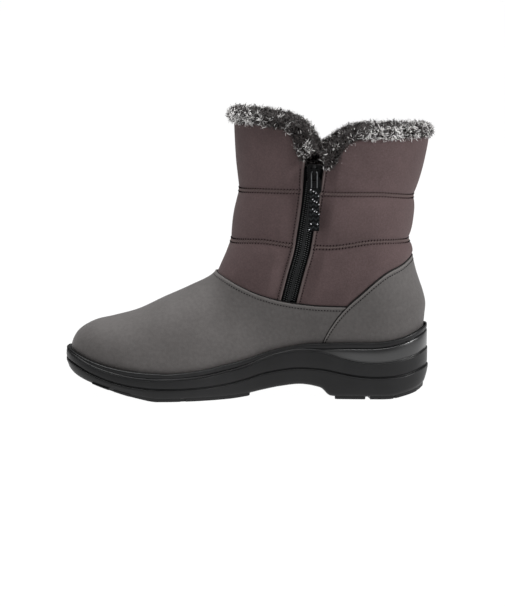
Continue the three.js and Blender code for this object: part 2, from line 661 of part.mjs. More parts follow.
// What a notch takes out of one side of the collar, its edge moved back from the opening.
function notchBlock(rows, depth, back, yLow, yHigh) {
  const edge = rows.map((row) => {
    const f = row.along * SOLE_LENGTH;
    return new THREE.Vector2(f, collarHeight(f) + 0.01 - row.dip * depth);
  });
  const moved = edge.map((p, i) => {
    const along = edge[Math.min(i + 1, edge.length - 1)].clone().sub(edge[Math.max(i - 1, 0)]);
    const away = new THREE.Vector2(along.y, -along.x).normalize();
    return p.clone().addScaledVector(away, back);
  });
  const above = collarHeight(SOLE_LENGTH) + 20;
  const corners = [[edge[edge.length - 1].x, above], [edge[0].x, above]];
  return sideBlock([...moved.map((p) => [p.x, p.y]), ...corners], yLow, yHigh);
}

function overlayShell(layer) {
  const rows = [...FOOT_ROWS, ...SHAFT_ROWS.slice(0, 4)];
  return wallToSolid(upperRings(rows, GAP + layer, true), upperRings(rows, GAP, true));
}

const counterOutline = (shift) => {
  const edge = COUNTER_EDGE.map((row) => [
    row.along * SOLE_LENGTH + shift,
    HEEL_SEAT + row.up * COUNTER_RISE + shift * 0.6,
  ]);
  return [...edge, [-SOLE_LENGTH, HEEL_SEAT - COUNTER_RISE], [-SOLE_LENGTH, edge[0][1]]];
};

function makeCounter() {
  return overlayShell(COUNTER_LAYER).intersect(sideBlock(counterOutline(0), -FAR_SIDE, FAR_SIDE));
}

function makeVamp() {
  const edge = VAMP_EDGE.map((row) => [row.along * SOLE_LENGTH, HEEL_SEAT + row.up * COUNTER_RISE]);
  const far = 1.2 * SOLE_LENGTH;
  const outline = [...edge, [far, throatHeight], [far, -COUNTER_RISE], [edge[0][0], -COUNTER_RISE]];
  return overlayShell(VAMP_LAYER)
    .intersect(sideBlock(outline, -FAR_SIDE, FAR_SIDE))
    .subtract(sideBlock(counterOutline(GAP), -FAR_SIDE, FAR_SIDE));
}

// The space that the lasted upper and its overlays take in the cup.
function lastedForm(offset) {
  const rows = FOOT_ROWS.slice(0, 12);
  const rings = upperRings(rows, offset, false);
  rings[0].forEach((p) => {
    p.z = seatHeight(p.x);
  });
  return ringsToSolid(rings);
}

// A ring round the sole, moved out by an amount, with its height given by a line.
const soleAngles = Array.from({ length: 2 * SOLE_STATIONS }, (_, i) => (Math.PI * i) / SOLE_STATIONS);
function solePlan(a, out) {
  const f = (SOLE_LENGTH * (1 - Math.cos(a))) / 2;
  const side = Math.sin(a) >= 0 ? -1 : 1;
  const heel = closing(1 - f / (HEEL_CLOSING.end * SOLE_LENGTH), HEEL_CLOSING.power);
  const y = planWidth(f, side, 0, SOLE_LENGTH) * heel;
  const atTip = Math.abs(Math.sin(a)) < 1e-9;
  const p = new THREE.Vector2(f, atTip && f > 1 ? ridgeLine(f) : y);
  return out === 0 ? p : p.add(solePlanNormal(a).multiplyScalar(out));
}
function solePlanNormal(a) {
  const da = 0.02;
  const along = solePlan(a + da, 0).sub(solePlan(a - da, 0));
  return new THREE.Vector2(-along.y, along.x).normalize().negate();
}

// Side of the sole from the floor up. Each row names a height line, what is added to it, and how
// far it stands out from the outline at the forefoot and at the heel.
const treadTop = (f) => Math.max(TREAD_DEPTH, archLine(f));
const lineAt = {
  tread: (f) => treadTop(f),
  groove: grooveLine,
  crescent: crescentLine,
  lip: lipHeight,
};
const SOLE_SIDE = [
  { line: 'tread', add: 0, out: -3.2, outHeel: -3.2 },
  { line: 'tread', add: 1.0, out: -1.6, outHeel: -1.2 },
  { line: 'tread', add: 3.2, out: -0.6, outHeel: 0.0 },
  { line: 'groove', add: -0.8, out: 0.0, outHeel: 0.5 },
  { line: 'groove', add: 0.0, out: -GROOVE_DEPTH, outHeel: -GROOVE_DEPTH },
  { line: 'groove', add: 0.9, out: -0.1, outHeel: -0.3 },
  { line: 'crescent', add: -0.7, out: -0.1, outHeel: 0.0 },
  { line: 'crescent', add: 0.4, out: -0.3, outHeel: -0.9 },
  { line: 'lip', add: -4.9, out: -0.8, outHeel: -1.0 },
  { line: 'lip', add: -4.3, out: -1.5, outHeel: -1.9 },
  { line: 'lip', add: -3.5, out: -0.7, outHeel: -0.6 },
  { line: 'lip', add: 0.0, out: -1.4, outHeel: -0.9 },
];

function soleBody() {
  const rings = SOLE_SIDE.map((row) =>
    soleAngles.map((a) => {
      const heel = 1 - smooth(0.2 * SOLE_LENGTH, 0.33 * SOLE_LENGTH, solePlan(a, 0).x);
      const p = solePlan(a, lerp(row.out, row.outHeel, heel));
      return new THREE.Vector3(p.x, p.y, lineAt[row.line](p.x) + row.add);
    }),
  );
  return ringsToSolid(rings);
}

// Tread: blocks between cross grooves, in a sheet that follows the sole's underside.
const TREAD_INSET = 4.4;
const FOREFOOT_BLOCKS = { from: 0.507, to: 0.955, count: 8, groove: 3.4, centre: 3.6 };
const HEEL_BLOCKS = { from: 0.02, to: 0.249, count: 4, groove: 3.2, centre: -1 };
const BLOCK_SWEEP = 9; // how far a block's middle lies ahead of its ends
function treadSheet() {
  const ring = (low) =>
    soleAngles.map((a) => {
      const p = solePlan(a, -TREAD_INSET);
      return new THREE.Vector3(p.x, p.y, treadTop(p.x) + (low ? -TREAD_DEPTH : 0.6));
    });
  return ringsToSolid([ring(true), ring(false)]);
}

// One block's outline from above, bent like a chevron, on one side of the centre groove.
// With no centre groove the two sides overlap and join.
function treadBlock(from, to, side, centre) {
  const half = BALL_WIDTH * 0.6;
  const near = centre / 2;
  const ahead = (f, y) => HEEL_ORIGIN - (f + BLOCK_SWEEP * (1 - y / half));
  const ridge = ridgeLine(from) * 0.6;
  const corners = [[from, near], [from, half], [to, half], [to, near]];
  const points = corners.map(([f, y]) => new THREE.Vector2(ahead(f, y), ridge + side * y));
  const geometry = new THREE.ExtrudeGeometry(new THREE.Shape(points), {
    depth: HEEL_SEAT + 5,
    bevelEnabled: false,
  });
  geometry.translate(0, 0, -5);
  return toSolid(geometry);
}

function treadBlocks(spec) {
  const pitch = ((spec.to - spec.from) * SOLE_LENGTH) / spec.count;
  const blocks = [];
  for (let i = 0; i < spec.count; i += 1) {
    const from = spec.from * SOLE_LENGTH + i * pitch - BLOCK_SWEEP;
    [-1, 1].forEach((side) => blocks.push(treadBlock(from, from + pitch - spec.groove, side, spec.centre)));
  }
  return blocks;
}

function makeOutsole() {
  const blocks = [...treadBlocks(FOREFOOT_BLOCKS), ...treadBlocks(HEEL_BLOCKS)];
  const tread = treadSheet().intersect(wasm.Manifold.union(blocks));
  const cup = lastedForm(GAP + COUNTER_LAYER + GAP);
  return soleBody().subtract(cup).add(tread);
}

// The footbed, inside the upper's wall on the cup's floor.
function makeInsole() {
  const ring = (up, inset) =>
    angles.map((a) => {
      const p = upperPoint(0, a, -WALL - GAP - inset, false);
      p.z = seatHeight(p.x) + GAP + up;
      return p;
    });
  return ringsToSolid([ring(0, 0.6), ring(INSOLE_LAYER, 0.4), ring(INSOLE_LAYER - 1.4, 7)]);
}

// The outer face of the upper on the inner side of the foot, moved in by a depth.
const zipFace = (f, z, depth) => lastSide(f, z, -1) + depth;

// A strip that follows the zip. Each row gives its height, half-width and two depths.
function zipStrip(rows, points) {
  const rings = rows.map(({ z, half, outer, inner }) => {
    const middle = zipMiddle(z - HEEL_SEAT);
    const at = (i, depth) => {
      const f = middle + lerp(-half, half, i / (points - 1));
      return new THREE.Vector3(f, zipFace(f, z, depth), z);
    };
    const face = Array.from({ length: points }, (_, i) => at(i, outer));
    const back = Array.from({ length: points }, (_, i) => at(points - 1 - i, inner));
    return [...face, ...back];
  });
  return ringsToSolid(rings);
}

function makeZipTape() {
  const rows = Array.from({ length: 15 }, (_, i) => {
    const up = lerp(ZIP_FOOT, ZIP_TOP, i / 14) * SHAFT_RISE;
    return {
      z: HEEL_SEAT + up,
      half: slotHalf(up) - GAP,
      outer: TAPE_DEPTH,
      inner: TAPE_DEPTH + TAPE_LAYER,
    };
  });
  return zipStrip(rows, 5);
}

// Where the pull's axis crosses the zip, and the slider's foot below it.
const pullHeight = HEEL_SEAT + SHAFT_RISE - PULL_DROP;
const PULL_PIVOT = { along: zipMiddle(pullHeight - HEEL_SEAT) + PULL_SHIFT, height: pullHeight };
const sliderFoot = pullHeight - SLIDER_BELOW;

// The chain, one ridge for each tooth, from the vamp's edge to the slider.
function makeZipTeeth() {
  const foot = HEEL_SEAT + ZIP_FOOT * SHAFT_RISE + CHAIN_PITCH / 2;
  const count = Math.floor((sliderFoot - GAP - foot) / CHAIN_PITCH);
  const inner = TAPE_DEPTH - GAP;
  const rows = [];
  for (let i = 0; i <= 2 * count; i += 1) {
    const valley = i % 2 === 0 ? CHAIN_VALLEY : 0;
    rows.push({
      z: foot + (i * CHAIN_PITCH) / 2,
      half: CHAIN_WIDTH / 2,
      outer: inner - CHAIN_LAYER + valley,
      inner,
    });
  }
  return zipStrip(rows, 2);
}

// A closed profile with holes, extruded to a depth. Outlines may run either way round.
function extrudeProfile(outline, holes, depth) {
  const path = (points) => points.map(([x, y]) => new THREE.Vector2(x, y));
  const turned = (points, way) =>
    THREE.ShapeUtils.area(points) * way < 0 ? points.reverse() : points;
  const shape = new THREE.Shape(turned(path(outline), 1));
  holes.forEach((hole) => shape.holes.push(new THREE.Path(turned(path(hole), -1))));
  return new THREE.ExtrudeGeometry(shape, { depth, bevelEnabled: false });
}

// A profile in y and z, extruded across the foot's length and centred at an f.
function acrossBlock(outline, holes, width, f) {
  const geometry = extrudeProfile(outline, holes, width);
  geometry.translate(0, 0, -width / 2);
  geometry.rotateX(Math.PI / 2);
  geometry.rotateZ(Math.PI / 2);
  geometry.translate(HEEL_ORIGIN - f, 0, 0);
  return toSolid(geometry);
}

// A profile in f and z, extruded along y between two places.
function facingBlock(outline, holes, yLow, yHigh) {
  const along = (points) => points.map(([f, z]) => [HEEL_ORIGIN - f, z]);
  const geometry = extrudeProfile(along(outline), holes.map(along), yHigh - yLow);
  geometry.rotateX(Math.PI / 2);
  geometry.translate(0, yHigh, 0);
  return toSolid(geometry);
}

// The slider's face, and the axis that the tab turns on.
const sliderDepth = TAPE_DEPTH - GAP - SLIDER_LAYER;
const pivotY = zipFace(PULL_PIVOT.along, PULL_PIVOT.height, sliderDepth) - PULL_OUT;

function makeZipSlider() {
  const widths = [0.74, 0.78, 0.9, 1.0, 1.0, 0.82];
  const steps = [0, 0.15, 0.4, 0.62, 0.88, 1];
  const body = zipStrip(
    widths.map((share, i) => ({
      z: sliderFoot + steps[i] * SLIDER_LENGTH,
      half: (share * SLIDER_WIDTH) / 2,
      outer: sliderDepth,
      inner: TAPE_DEPTH - GAP,
    })),
    3,
  );
  const { above, below, height, bar, width } = CROWN;
  const z = PULL_PIVOT.height;
  const face = pivotY + PULL_OUT;
  const sink = face + 1.2;
  const outline = [
    [sink, z - below], [face - height * 0.5, z - below], [face - height, z - below + 2.4],
    [face - height, z + above - 1.6], [face - height * 0.5, z + above], [sink, z + above],
  ];
  const hole = [
    [face - 0.1, z - below + bar], [face - height * 0.45, z - below + bar],
    [face - height + bar, z - below + 2.4 + bar * 0.6], [face - height + bar, z + above - 2.2],
    [face - height * 0.45, z + above - bar], [face - 0.1, z + above - bar],
  ];
  return body.add(acrossBlock(outline, [hole], width, PULL_PIVOT.along));
}

// The tab hangs from its bar in the crown, with a slot below for the strap.
const SLOT_TOP = 13;
const SLOT_FOOT = 15.3;
const STRAP_CLEARANCE = 0.3;
function makePullTab() {
  const { along, height } = PULL_PIVOT;
  const top = TAB_TOP_WIDTH / 2;
  const low = TAB_WIDTH / 2;
  const rect = (half, from, to) => [
    [along - half, height - from], [along + half, height - from],
    [along + half, height - to], [along - half, height - to],
  ];
  const outline = [
    [along - top, height + BAR_SIZE / 2], [along + top, height + BAR_SIZE / 2],
    [along + top, height - 5], [along + low, height - 9],
    [along + low, height - TAB_LENGTH + 1.2], [along + low - 1.2, height - TAB_LENGTH],
    [along - low + 1.2, height - TAB_LENGTH], [along - low, height - TAB_LENGTH + 1.2],
    [along - low, height - 9], [along - top, height - 5],
  ];
  const crownWindow = rect(CROWN.width / 2 + 0.6, BAR_SIZE / 2, 8.4);
  const strapSlot = rect(STRAP_WIDTH / 2 + STRAP_CLEARANCE, SLOT_TOP, SLOT_FOOT);
  const back = pivotY - TAB_LAYER / 2;
  return facingBlock(outline, [crownWindow, strapSlot], back, back + TAB_LAYER);
}

// The braid, doubled through the tab's slot and sewn together below it.
function makePullStrap() {
  const z = PULL_PIVOT.height;
  const barTop = z - SLOT_FOOT;
  const barFoot = z - TAB_LENGTH;
  const half = TAB_LAYER / 2 + STRAP_CLEARANCE;
  const full = half + STRAP_LAYER;
  const foot = barTop - STRAP_LENGTH;
  const side = (sign) => [
    [pivotY + sign * half, barTop + STRAP_CLEARANCE + STRAP_LAYER],
    [pivotY + sign * full, barTop],
    [pivotY + sign * full, barFoot - 0.6],
    [pivotY + sign * STRAP_LAYER, barFoot - 3.2],
    [pivotY + sign * STRAP_LAYER, foot + 1],
    [pivotY + sign * STRAP_LAYER * 0.6, foot],
  ];
  const hole = [
    [pivotY - half, barTop + STRAP_CLEARANCE], [pivotY + half, barTop + STRAP_CLEARANCE],
    [pivotY + half, barFoot - 0.8], [pivotY, barFoot - 2], [pivotY - half, barFoot - 0.8],
  ];
  return acrossBlock([...side(-1), ...side(1).reverse()], [hole], STRAP_WIDTH, PULL_PIVOT.along);
}

// Edge of the fabric round the collar: angle as in lastPoint, with the dip over the zip.
function collarEdge(a) {
  const f = lastPoint(LAST_SECTION, a).x;
  const inner = Math.sin(a) >= 0;
  const z = collarHeight(f) - notchDip(f, inner);
  return new THREE.Vector3(f, lastSide(f, Math.min(z, collarHeight(f)), inner ? -1 : 1), z);
}

// Evenly spaced places along the collar's edge between two angles, with their directions.
function furPath(from, to) {
  const dense = Array.from({ length: 600 }, (_, i) => collarEdge(lerp(from, to, i / 599)));
  const curve = new THREE.CatmullRomCurve3(dense);
  curve.arcLengthDivisions = 1200;
  return Array.from({ length: FUR_RINGS + 1 }, (_, i) => {
    const u = i / FUR_RINGS;
    const point = curve.getPointAt(u);
    const ahead = curve.getPointAt(Math.min(1, u + 0.02));
    const tangent = ahead.sub(curve.getPointAt(Math.max(0, u - 0.02))).normalize();
    return { point, tangent };
  });
}

// One half of the roll, from the zip to the middle of the outer side. turn: 1 by the front,
// -1 by the heel.
const collarEnds = SECTIONS[LAST_SECTION];
const OUTER_MEETING = Math.acos(
  1 - (2 * (OUTER_NOTCH_MIDDLE - collarEnds.backF)) / (collarEnds.frontF - collarEnds.backF));
function furPlaces(turn) {
  const from = turn > 0 ? 1.83 : 1.66;
  const to = turn > 0 ? 2 * Math.PI - OUTER_MEETING : -OUTER_MEETING;
  const centre = collarEdge(from).x;
  return furPath(from, to).map(({ point, tangent }) => {
    const middle = new THREE.Vector3(0.5 * (SECTIONS[LAST_SECTION].frontF), 0, point.z);
    const rough = point.clone().sub(middle).multiply(new THREE.Vector3(0.35, 1, 0));
    const out = rough.addScaledVector(tangent, -rough.dot(tangent)).normalize();
    const beyond = turn > 0 ? out.clone().cross(tangent) : tangent.clone().cross(out);
    const near = point.y < 0 ? 1 - smooth(0, 22, Math.abs(point.x - centre)) : 0;
    const half = FUR_HALF_HEIGHT + FUR_FILL * near;
    const middleOfRoll = point.clone().addScaledVector(beyond, FUR_LIFT).addScaledVector(out, -WALL / 2);
    return { middle: middleOfRoll, out, beyond, half, turn };
  });
}

const furSurface = ({ middle, out, beyond, half }, angle, share) =>
  middle.clone()
    .addScaledVector(out, Math.cos(angle) * FUR_HALF_LAYER * share)
    .addScaledVector(beyond, Math.sin(angle) * half * share);

// A lock: a pointed tuft rooted in the roll, leaning a little by chance.
function furLock(place, angle, chance) {
  const root = furSurface(place, angle, 1);
  const away = furSurface(place, angle, 2).sub(root).normalize();
  const lean = new THREE.Vector3(chance() - 0.5, chance() - 0.5, chance() - 0.65);
  const direction = away.addScaledVector(lean, 0.6).normalize();
  const geometry = new THREE.ConeGeometry(LOCK_WIDTH / 2, LOCK_LENGTH, 4);
  geometry.translate(0, LOCK_LENGTH / 2 - LOCK_SINK, 0);
  geometry.rotateY(chance() * Math.PI);
  const turn = new THREE.Quaternion().setFromUnitVectors(
    new THREE.Vector3(0, 1, 0), new THREE.Vector3(-direction.x, direction.y, direction.z));
  geometry.applyQuaternion(turn);
  geometry.translate(...toFrame(root).toArray());
  return toSolid(geometry);
}

// Repeatable chance between 0 and 1.
function chanceFrom(seed) {
  let state = seed;
  return () => {
    state = (state * 1103515245 + 12345) % 2147483648;
    return state / 2147483648;
  };
}

const LOCK_ANGLES = [-0.6, 0.5, 1.45, 2.4];
function makeFurCollar() {
  const chance = chanceFrom(7);
  const parts = [1, -1].flatMap((turn) => {
    const places = furPlaces(turn);
    const rings = places.map((place) =>
      Array.from({ length: FUR_POINTS }, (_, i) =>
        furSurface(place, (-turn * 2 * Math.PI * i) / FUR_POINTS, 1)));
    const locks = places.slice(1, -1).flatMap((place, i) =>
      LOCK_ANGLES.filter((_, j) => (i + j) % 3 !== 0).map((angle) =>
        furLock(place, angle + 0.3 * (chance() - 0.5), chance)));
    return [ringsToSolid(rings), ...locks];
  });
  const clear = upperWall(SHAFT_ROWS.slice(3), LINING_ROWS.slice(10), GAP);
  const behind = PULL_PIVOT.along - FUR_ROOM.behind;
  const ahead = PULL_PIVOT.along + FUR_ROOM.ahead;
  const low = PULL_PIVOT.height - FUR_ROOM.below;
  const high = PULL_PIVOT.height + FUR_ROOM.above;
  const zipRoom = facingBlock(
    [[behind, low], [behind, high], [ahead, high], [ahead, low]], [], -FAR_SIDE, -SHAFT_WIDTH / 4);
  return wasm.Manifold.union(parts).subtract(clear).subtract(zipRoom);
}

// Materials from the photograph
const material = (name, color, roughness, metalness = 0) => {
  const made = new THREE.MeshStandardMaterial({ color, roughness, metalness });
  made.name = name;
  return made;
};
const MATERIALS = {
  quilt: material('quilt', 0x584a4b, 0.75),
  nubuck: material('nubuck', 0x5f5d5b, 0.85),
  rubber: material('rubber', 0x27282a, 0.55),
  fur: material('fur', 0x6b6363, 0.95),
  foam: material('foam', 0x3a3434, 0.9),
  zip: material('zip', 0x141516, 0.6),
  slider: material('slider', 0x1d1e20, 0.35, 0.6),
  strap: material('strap', 0x17181a, 0.8),
};

const boot = new THREE.Group();
boot.name = 'snow_boot';
function addPiece(name, solid, look, parent = boot) {
  const mesh = new THREE.Mesh(toGeometry(solid), look);
  mesh.name = name;
  parent.add(mesh);
  return mesh;
}

addPiece('outsole', makeOutsole(), MATERIALS.rubber);
addPiece('insole', makeInsole(), MATERIALS.foam);
addPiece('upper', makeUpper(), MATERIALS.quilt);
addPiece('vamp', makeVamp(), MATERIALS.nubuck);
addPiece('heel_counter', makeCounter(), MATERIALS.nubuck);
addPiece('fur_collar', makeFurCollar(), MATERIALS.fur);
addPiece('zip_tape', makeZipTape(), MATERIALS.zip);
addPiece('zip_teeth', makeZipTeeth(), MATERIALS.zip);
addPiece('zip_slider', makeZipSlider(), MATERIALS.slider);
addPiece('pull_tab', makePullTab(), MATERIALS.slider);
addPiece('pull_strap', makePullStrap(), MATERIALS.strap);

export default boot;
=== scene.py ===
"""A right snow boot on a pale floor, seen from its inner side."""
import math

import bpy
import numpy as np
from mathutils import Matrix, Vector


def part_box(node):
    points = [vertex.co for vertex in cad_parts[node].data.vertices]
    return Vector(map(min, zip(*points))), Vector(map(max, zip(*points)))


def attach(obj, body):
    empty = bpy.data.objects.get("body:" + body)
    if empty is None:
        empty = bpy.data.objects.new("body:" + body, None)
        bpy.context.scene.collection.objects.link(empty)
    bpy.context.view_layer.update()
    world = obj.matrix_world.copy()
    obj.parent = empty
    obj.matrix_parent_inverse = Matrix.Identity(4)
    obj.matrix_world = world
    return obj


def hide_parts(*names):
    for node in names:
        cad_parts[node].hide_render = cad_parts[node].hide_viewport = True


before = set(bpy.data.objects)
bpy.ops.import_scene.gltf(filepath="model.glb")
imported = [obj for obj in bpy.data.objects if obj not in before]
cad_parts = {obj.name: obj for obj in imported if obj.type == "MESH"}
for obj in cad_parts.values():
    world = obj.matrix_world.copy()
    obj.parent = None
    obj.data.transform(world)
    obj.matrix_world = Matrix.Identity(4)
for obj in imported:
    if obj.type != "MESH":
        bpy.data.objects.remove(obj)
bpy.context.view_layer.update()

# Driving sizes in millimetres, as in the part. f is the distance ahead of the sole's heel.
SOLE_LENGTH = 274.0
BALL_WIDTH = 102.0
HEEL_SEAT = 38.0
BALL_SEAT = 16.0
TOE_SEAT = 33.0
HEEL_ORIGIN = 54.0
TOE_SHIFT = 7.0
INSTEP_RISE = 73.0
COUNTER_RISE = 70.0
SHAFT_RISE = 153.5
SHAFT_WIDTH = 84.0
SIDE_INSET = 5.5
HEEL_INSET = 5.6
WALL = 3.6
VAMP_LAYER = 1.2
COUNTER_LAYER = 1.7
GAP = 0.3
FEATHER_TUCK = 2.4
QUILT_BULGE = 3.2
QUILT_BULGE_FRONT = 1.2
TREAD_DEPTH = 2.2
ARCH_CLEAR = 12.3
NOTCH_DEPTH = 24.0
OUTER_NOTCH_DEPTH = 24.0
OUTER_NOTCH_MIDDLE = 84.0
FUR_HALF_HEIGHT = 5.4
FUR_LIFT = 3.0
FUR_FILL = 3.0
FUR_LAYER = 7.0
QUILT_POWER = 2.5
HEEL_ROUND = 0.135
TAPE_DEPTH = 1.6
SLIDER_FOOT = 166.0
PULL = {"f": 87.3, "z": 174.4}
PIVOT_Y = -45.1105
MM = 0.001
OUTWARD = np.array([0.0, -1.0, 0.0])  # away from the zip
UPWARD = np.array([0.0, 0.0, 1.0])

# Tables of the part: places along the sole as shares of its length, then the named values.
OUTLINE = [
    (0.0, 0.355, 0.355), (0.13, 0.355, 0.362), (0.25, 0.342, 0.37), (0.36, 0.3, 0.385),
    (0.45, 0.296, 0.405), (0.55, 0.35, 0.455), (0.65, 0.44, 0.5), (0.72, 0.472, 0.505),
    (0.8, 0.475, 0.478), (0.9, 0.465, 0.425), (1.0, 0.455, 0.37)]
SOLE_LINES = [
    (0.0, 1.26, 0.62, 0.955), (0.012, 0.82, 0.6, 0.93), (0.03, 0.57, 0.56, 0.87),
    (0.065, 0.36, 0.49, 0.81), (0.11, 0.19, 0.45, 0.755), (0.15, 0.17, 0.443, 0.735),
    (0.19, 0.17, 0.46, 0.75), (0.24, 0.17, 0.52, 0.83), (0.272, 0.23, 0.57, 0.91),
    (0.3, 0.72, 0.6, 0.955), (0.355, 0.9, 0.618, 0.97), (0.41, 0.76, 0.575, 0.9),
    (0.46, 0.53, 0.5, 0.78), (0.505, 0.32, 0.4, 0.645), (0.56, 0.2, 0.315, 0.545),
    (0.62, 0.17, 0.27, 0.475), (0.65, 0.17, 0.26, 0.455), (0.68, 0.17, 0.255, 0.44),
    (0.74, 0.17, 0.26, 0.43), (0.8, 0.38, 0.3, 0.46), (0.87, 0.71, 0.4, 0.555),
    (0.93, 1.09, 0.545, 0.69), (0.975, 1.5, 0.7, 0.85), (1.0, 1.9, 0.78, 0.93)]
SEAT_LINE = [
    (0.0, 1.0), (0.2, 1.0), (0.32, 0.95), (0.42, 0.74), (0.5, 0.42), (0.57, 0.22),
    (0.65, 0.06), (0.72, 0.0)]
TOE_SEAT_LINE = [(0.72, 0.0), (0.8, 0.09), (0.87, 0.26), (0.93, 0.52), (1.0, 1.0)]
FOOT_SECTIONS = [
    (0.981, 0.0, 0.05, 0.0, 0.3, 0.36), (0.981, 0.1, 0.052, 0.17, 0.3, 0.36),
    (0.9645, 0.259, 0.043, 0.33, 0.3, 0.37), (0.9215, 0.422, 0.037, 0.45, 0.3, 0.39),
    (0.865, 0.525, 0.055, 0.57, 0.3, 0.42), (0.8, 0.624, 0.083, 0.69, 0.33, 0.45),
    (0.73, 0.765, 0.107, 0.8, 0.4, 0.48), (0.657, 0.873, 0.126, 0.91, 0.46, 0.51),
    (0.5895, 0.971, 0.14, 1.014, 0.52, 0.53)]
SHAFT_SECTIONS = [
    (0.5575, 0.44, 0.15, 0.488, 0.57, 0.54), (0.5445, 0.521, 0.153, 0.5185, 0.6, 0.56),
    (0.5335, 0.645, 0.143, 0.63, 0.62, 0.58), (0.5225, 0.765, 0.116, 0.738, 0.64, 0.6),
    (0.527, 0.925, 0.079, 0.87, 0.66, 0.63), (0.5335, 1.114, 0.027, 1.039, 0.68, 0.66)]
SHAFT_HALF = [(0.0, 0.455), (0.45, 0.47), (0.75, 0.485), (1.1, 0.515)]
SEAMS = [
    (0.04, 0.52, 0.738), (0.15, 0.531, 0.764), (0.28, 0.508, 0.769), (0.36, 0.513, 0.78),
    (0.46, 0.532, 0.778), (0.545, 0.52, 0.765)]
VAMP_EDGE = [
    (0.2, 0.455), (0.3, 0.462), (0.36, 0.482), (0.41, 0.516), (0.465, 0.575),
    (0.525, 0.672), (0.561, 0.742), (0.588, 0.79), (0.62, 0.86)]
COUNTER_EDGE = [
    (-0.03, 1.06), (0.04, 0.985), (0.081, 0.885), (0.118, 0.82), (0.154, 0.715),
    (0.19, 0.588), (0.219, 0.484), (0.249, 0.35), (0.27, 0.222), (0.285, 0.11),
    (0.3, -0.05), (0.31, -0.3)]
ZIP_LINE = [
    (0.2, 0.391), (0.38, 0.3668), (0.491, 0.3504), (0.57, 0.3431), (0.68, 0.3336),
    (0.793, 0.3255), (0.93, 0.3175)]
NOTCH = [
    (0.0, 0.0), (0.05, 0.03), (0.109, 0.1), (0.168, 0.146), (0.197, 0.19), (0.215, 0.283), (0.231, 0.417),
    (0.2445, 0.61), (0.26, 0.883), (0.2755, 1.033), (0.2956, 1.1), (0.321, 1.08), (0.341, 0.92),
    (0.353, 0.704), (0.36, 0.4625), (0.3686, 0.23), (0.385, 0.117), (0.409, 0.025),
    (0.438, 0.0)]
OUTER_NOTCH = [
    (0, 0), (0.05, 0.09), (0.109, 0.17), (0.168, 0.265), (0.197, 0.335), (0.219, 0.445),
    (0.237, 0.59), (0.2555, 0.755), (0.2737, 0.91), (0.29, 1.0), (0.3066, 1.05), (0.3175, 0.92),
    (0.3277, 0.74), (0.3412, 0.46), (0.3562, 0.3), (0.387, 0.16), (0.416, 0.09), (0.438, 0.06),
    (0.48, 0.02), (0.52, 0)]


# Curves and the last's surface, the same as the part's
def smooth(low, high, x):
    t = np.clip((x - low) / (high - low), 0, 1)
    return t * t * (3 - 2 * t)


def mix(a, b, t):
    return a + (b - a) * t


def unit(vectors):
    return vectors / np.maximum(np.linalg.norm(vectors, axis=-1, keepdims=True), 1e-9)


def table_curve(rows, column=1, x_scale=1.0, y_scale=1.0):
    """A smooth curve through a table that never overshoots its rows."""
    x = np.array([row[0] for row in rows]) * x_scale
    y = np.array([row[column] for row in rows]) * y_scale
    step = np.diff(y) / np.diff(x)
    slope = np.zeros_like(y)
    slope[0] = step[0]
    slope[-1] = step[-1]
    product = step[:-1] * step[1:]
    total = np.where(step[:-1] + step[1:] == 0, 1, step[:-1] + step[1:])
    slope[1:-1] = np.where(product <= 0, 0, 2 * product / total)

    def at(value):
        value = np.clip(np.asarray(value, dtype=float), x[0], x[-1])
        i = np.clip(np.searchsorted(x, value, side="right") - 1, 0, len(x) - 2)
        h = x[i + 1] - x[i]
        t = (value - x[i]) / h
        t2 = t * t
        t3 = t2 * t
        return (y[i] * (2 * t3 - 3 * t2 + 1) + slope[i] * h * (t3 - 2 * t2 + t)
                + y[i + 1] * (3 * t2 - 2 * t3) + slope[i + 1] * h * (t3 - t2))
    return at


half_inner = table_curve(OUTLINE, 1, SOLE_LENGTH, BALL_WIDTH)
half_outer = table_curve(OUTLINE, 2, SOLE_LENGTH, BALL_WIDTH)
arch_line = table_curve(SOLE_LINES, 1, SOLE_LENGTH, ARCH_CLEAR)
groove_line = table_curve(SOLE_LINES, 2, SOLE_LENGTH, HEEL_SEAT)
crescent_line = table_curve(SOLE_LINES, 3, SOLE_LENGTH, HEEL_SEAT)
seat_rise = table_curve(SEAT_LINE, 1, SOLE_LENGTH)
toe_seat_rise = table_curve(TOE_SEAT_LINE, 1, SOLE_LENGTH)
shaft_half = table_curve(SHAFT_HALF, 1, SHAFT_RISE, SHAFT_WIDTH)
lower_seam = table_curve(SEAMS, 1, SOLE_LENGTH, SHAFT_RISE)
upper_seam = table_curve(SEAMS, 2, SOLE_LENGTH, SHAFT_RISE)
vamp_edge = table_curve(VAMP_EDGE, 1, SOLE_LENGTH, COUNTER_RISE)
counter_edge = table_curve(COUNTER_EDGE, 1, SOLE_LENGTH, COUNTER_RISE)
zip_middle = table_curve(ZIP_LINE, 1, SHAFT_RISE, SOLE_LENGTH)
inner_dip = table_curve(NOTCH, 1, SOLE_LENGTH, NOTCH_DEPTH)
outer_dip = table_curve(OUTER_NOTCH, 1, SOLE_LENGTH, OUTER_NOTCH_DEPTH)


def notch_dip(f, side):
    """How far the collar's edge dips below its line."""
    return np.where(side < 0, inner_dip(f), outer_dip(f))


def seat_height(f):
    """Height of the cup's floor."""
    return (BALL_SEAT + (HEEL_SEAT - BALL_SEAT) * seat_rise(f)
            + (TOE_SEAT - BALL_SEAT) * toe_seat_rise(f))


def lip_height(f):
    back = 1 - np.clip(f / (0.17 * SOLE_LENGTH), 0, 1)
    return seat_height(f) + 5.2 + 11.5 * back * back


def ridge_line(f):
    return -TOE_SHIFT * smooth(0.5 * SOLE_LENGTH, SOLE_LENGTH, f)


def closing(share, power):
    """1 at share 0, rounding off to 0 at share 1."""
    return np.power(np.maximum(0, 1 - np.power(np.clip(share, 0, 1), power)), 1 / power)


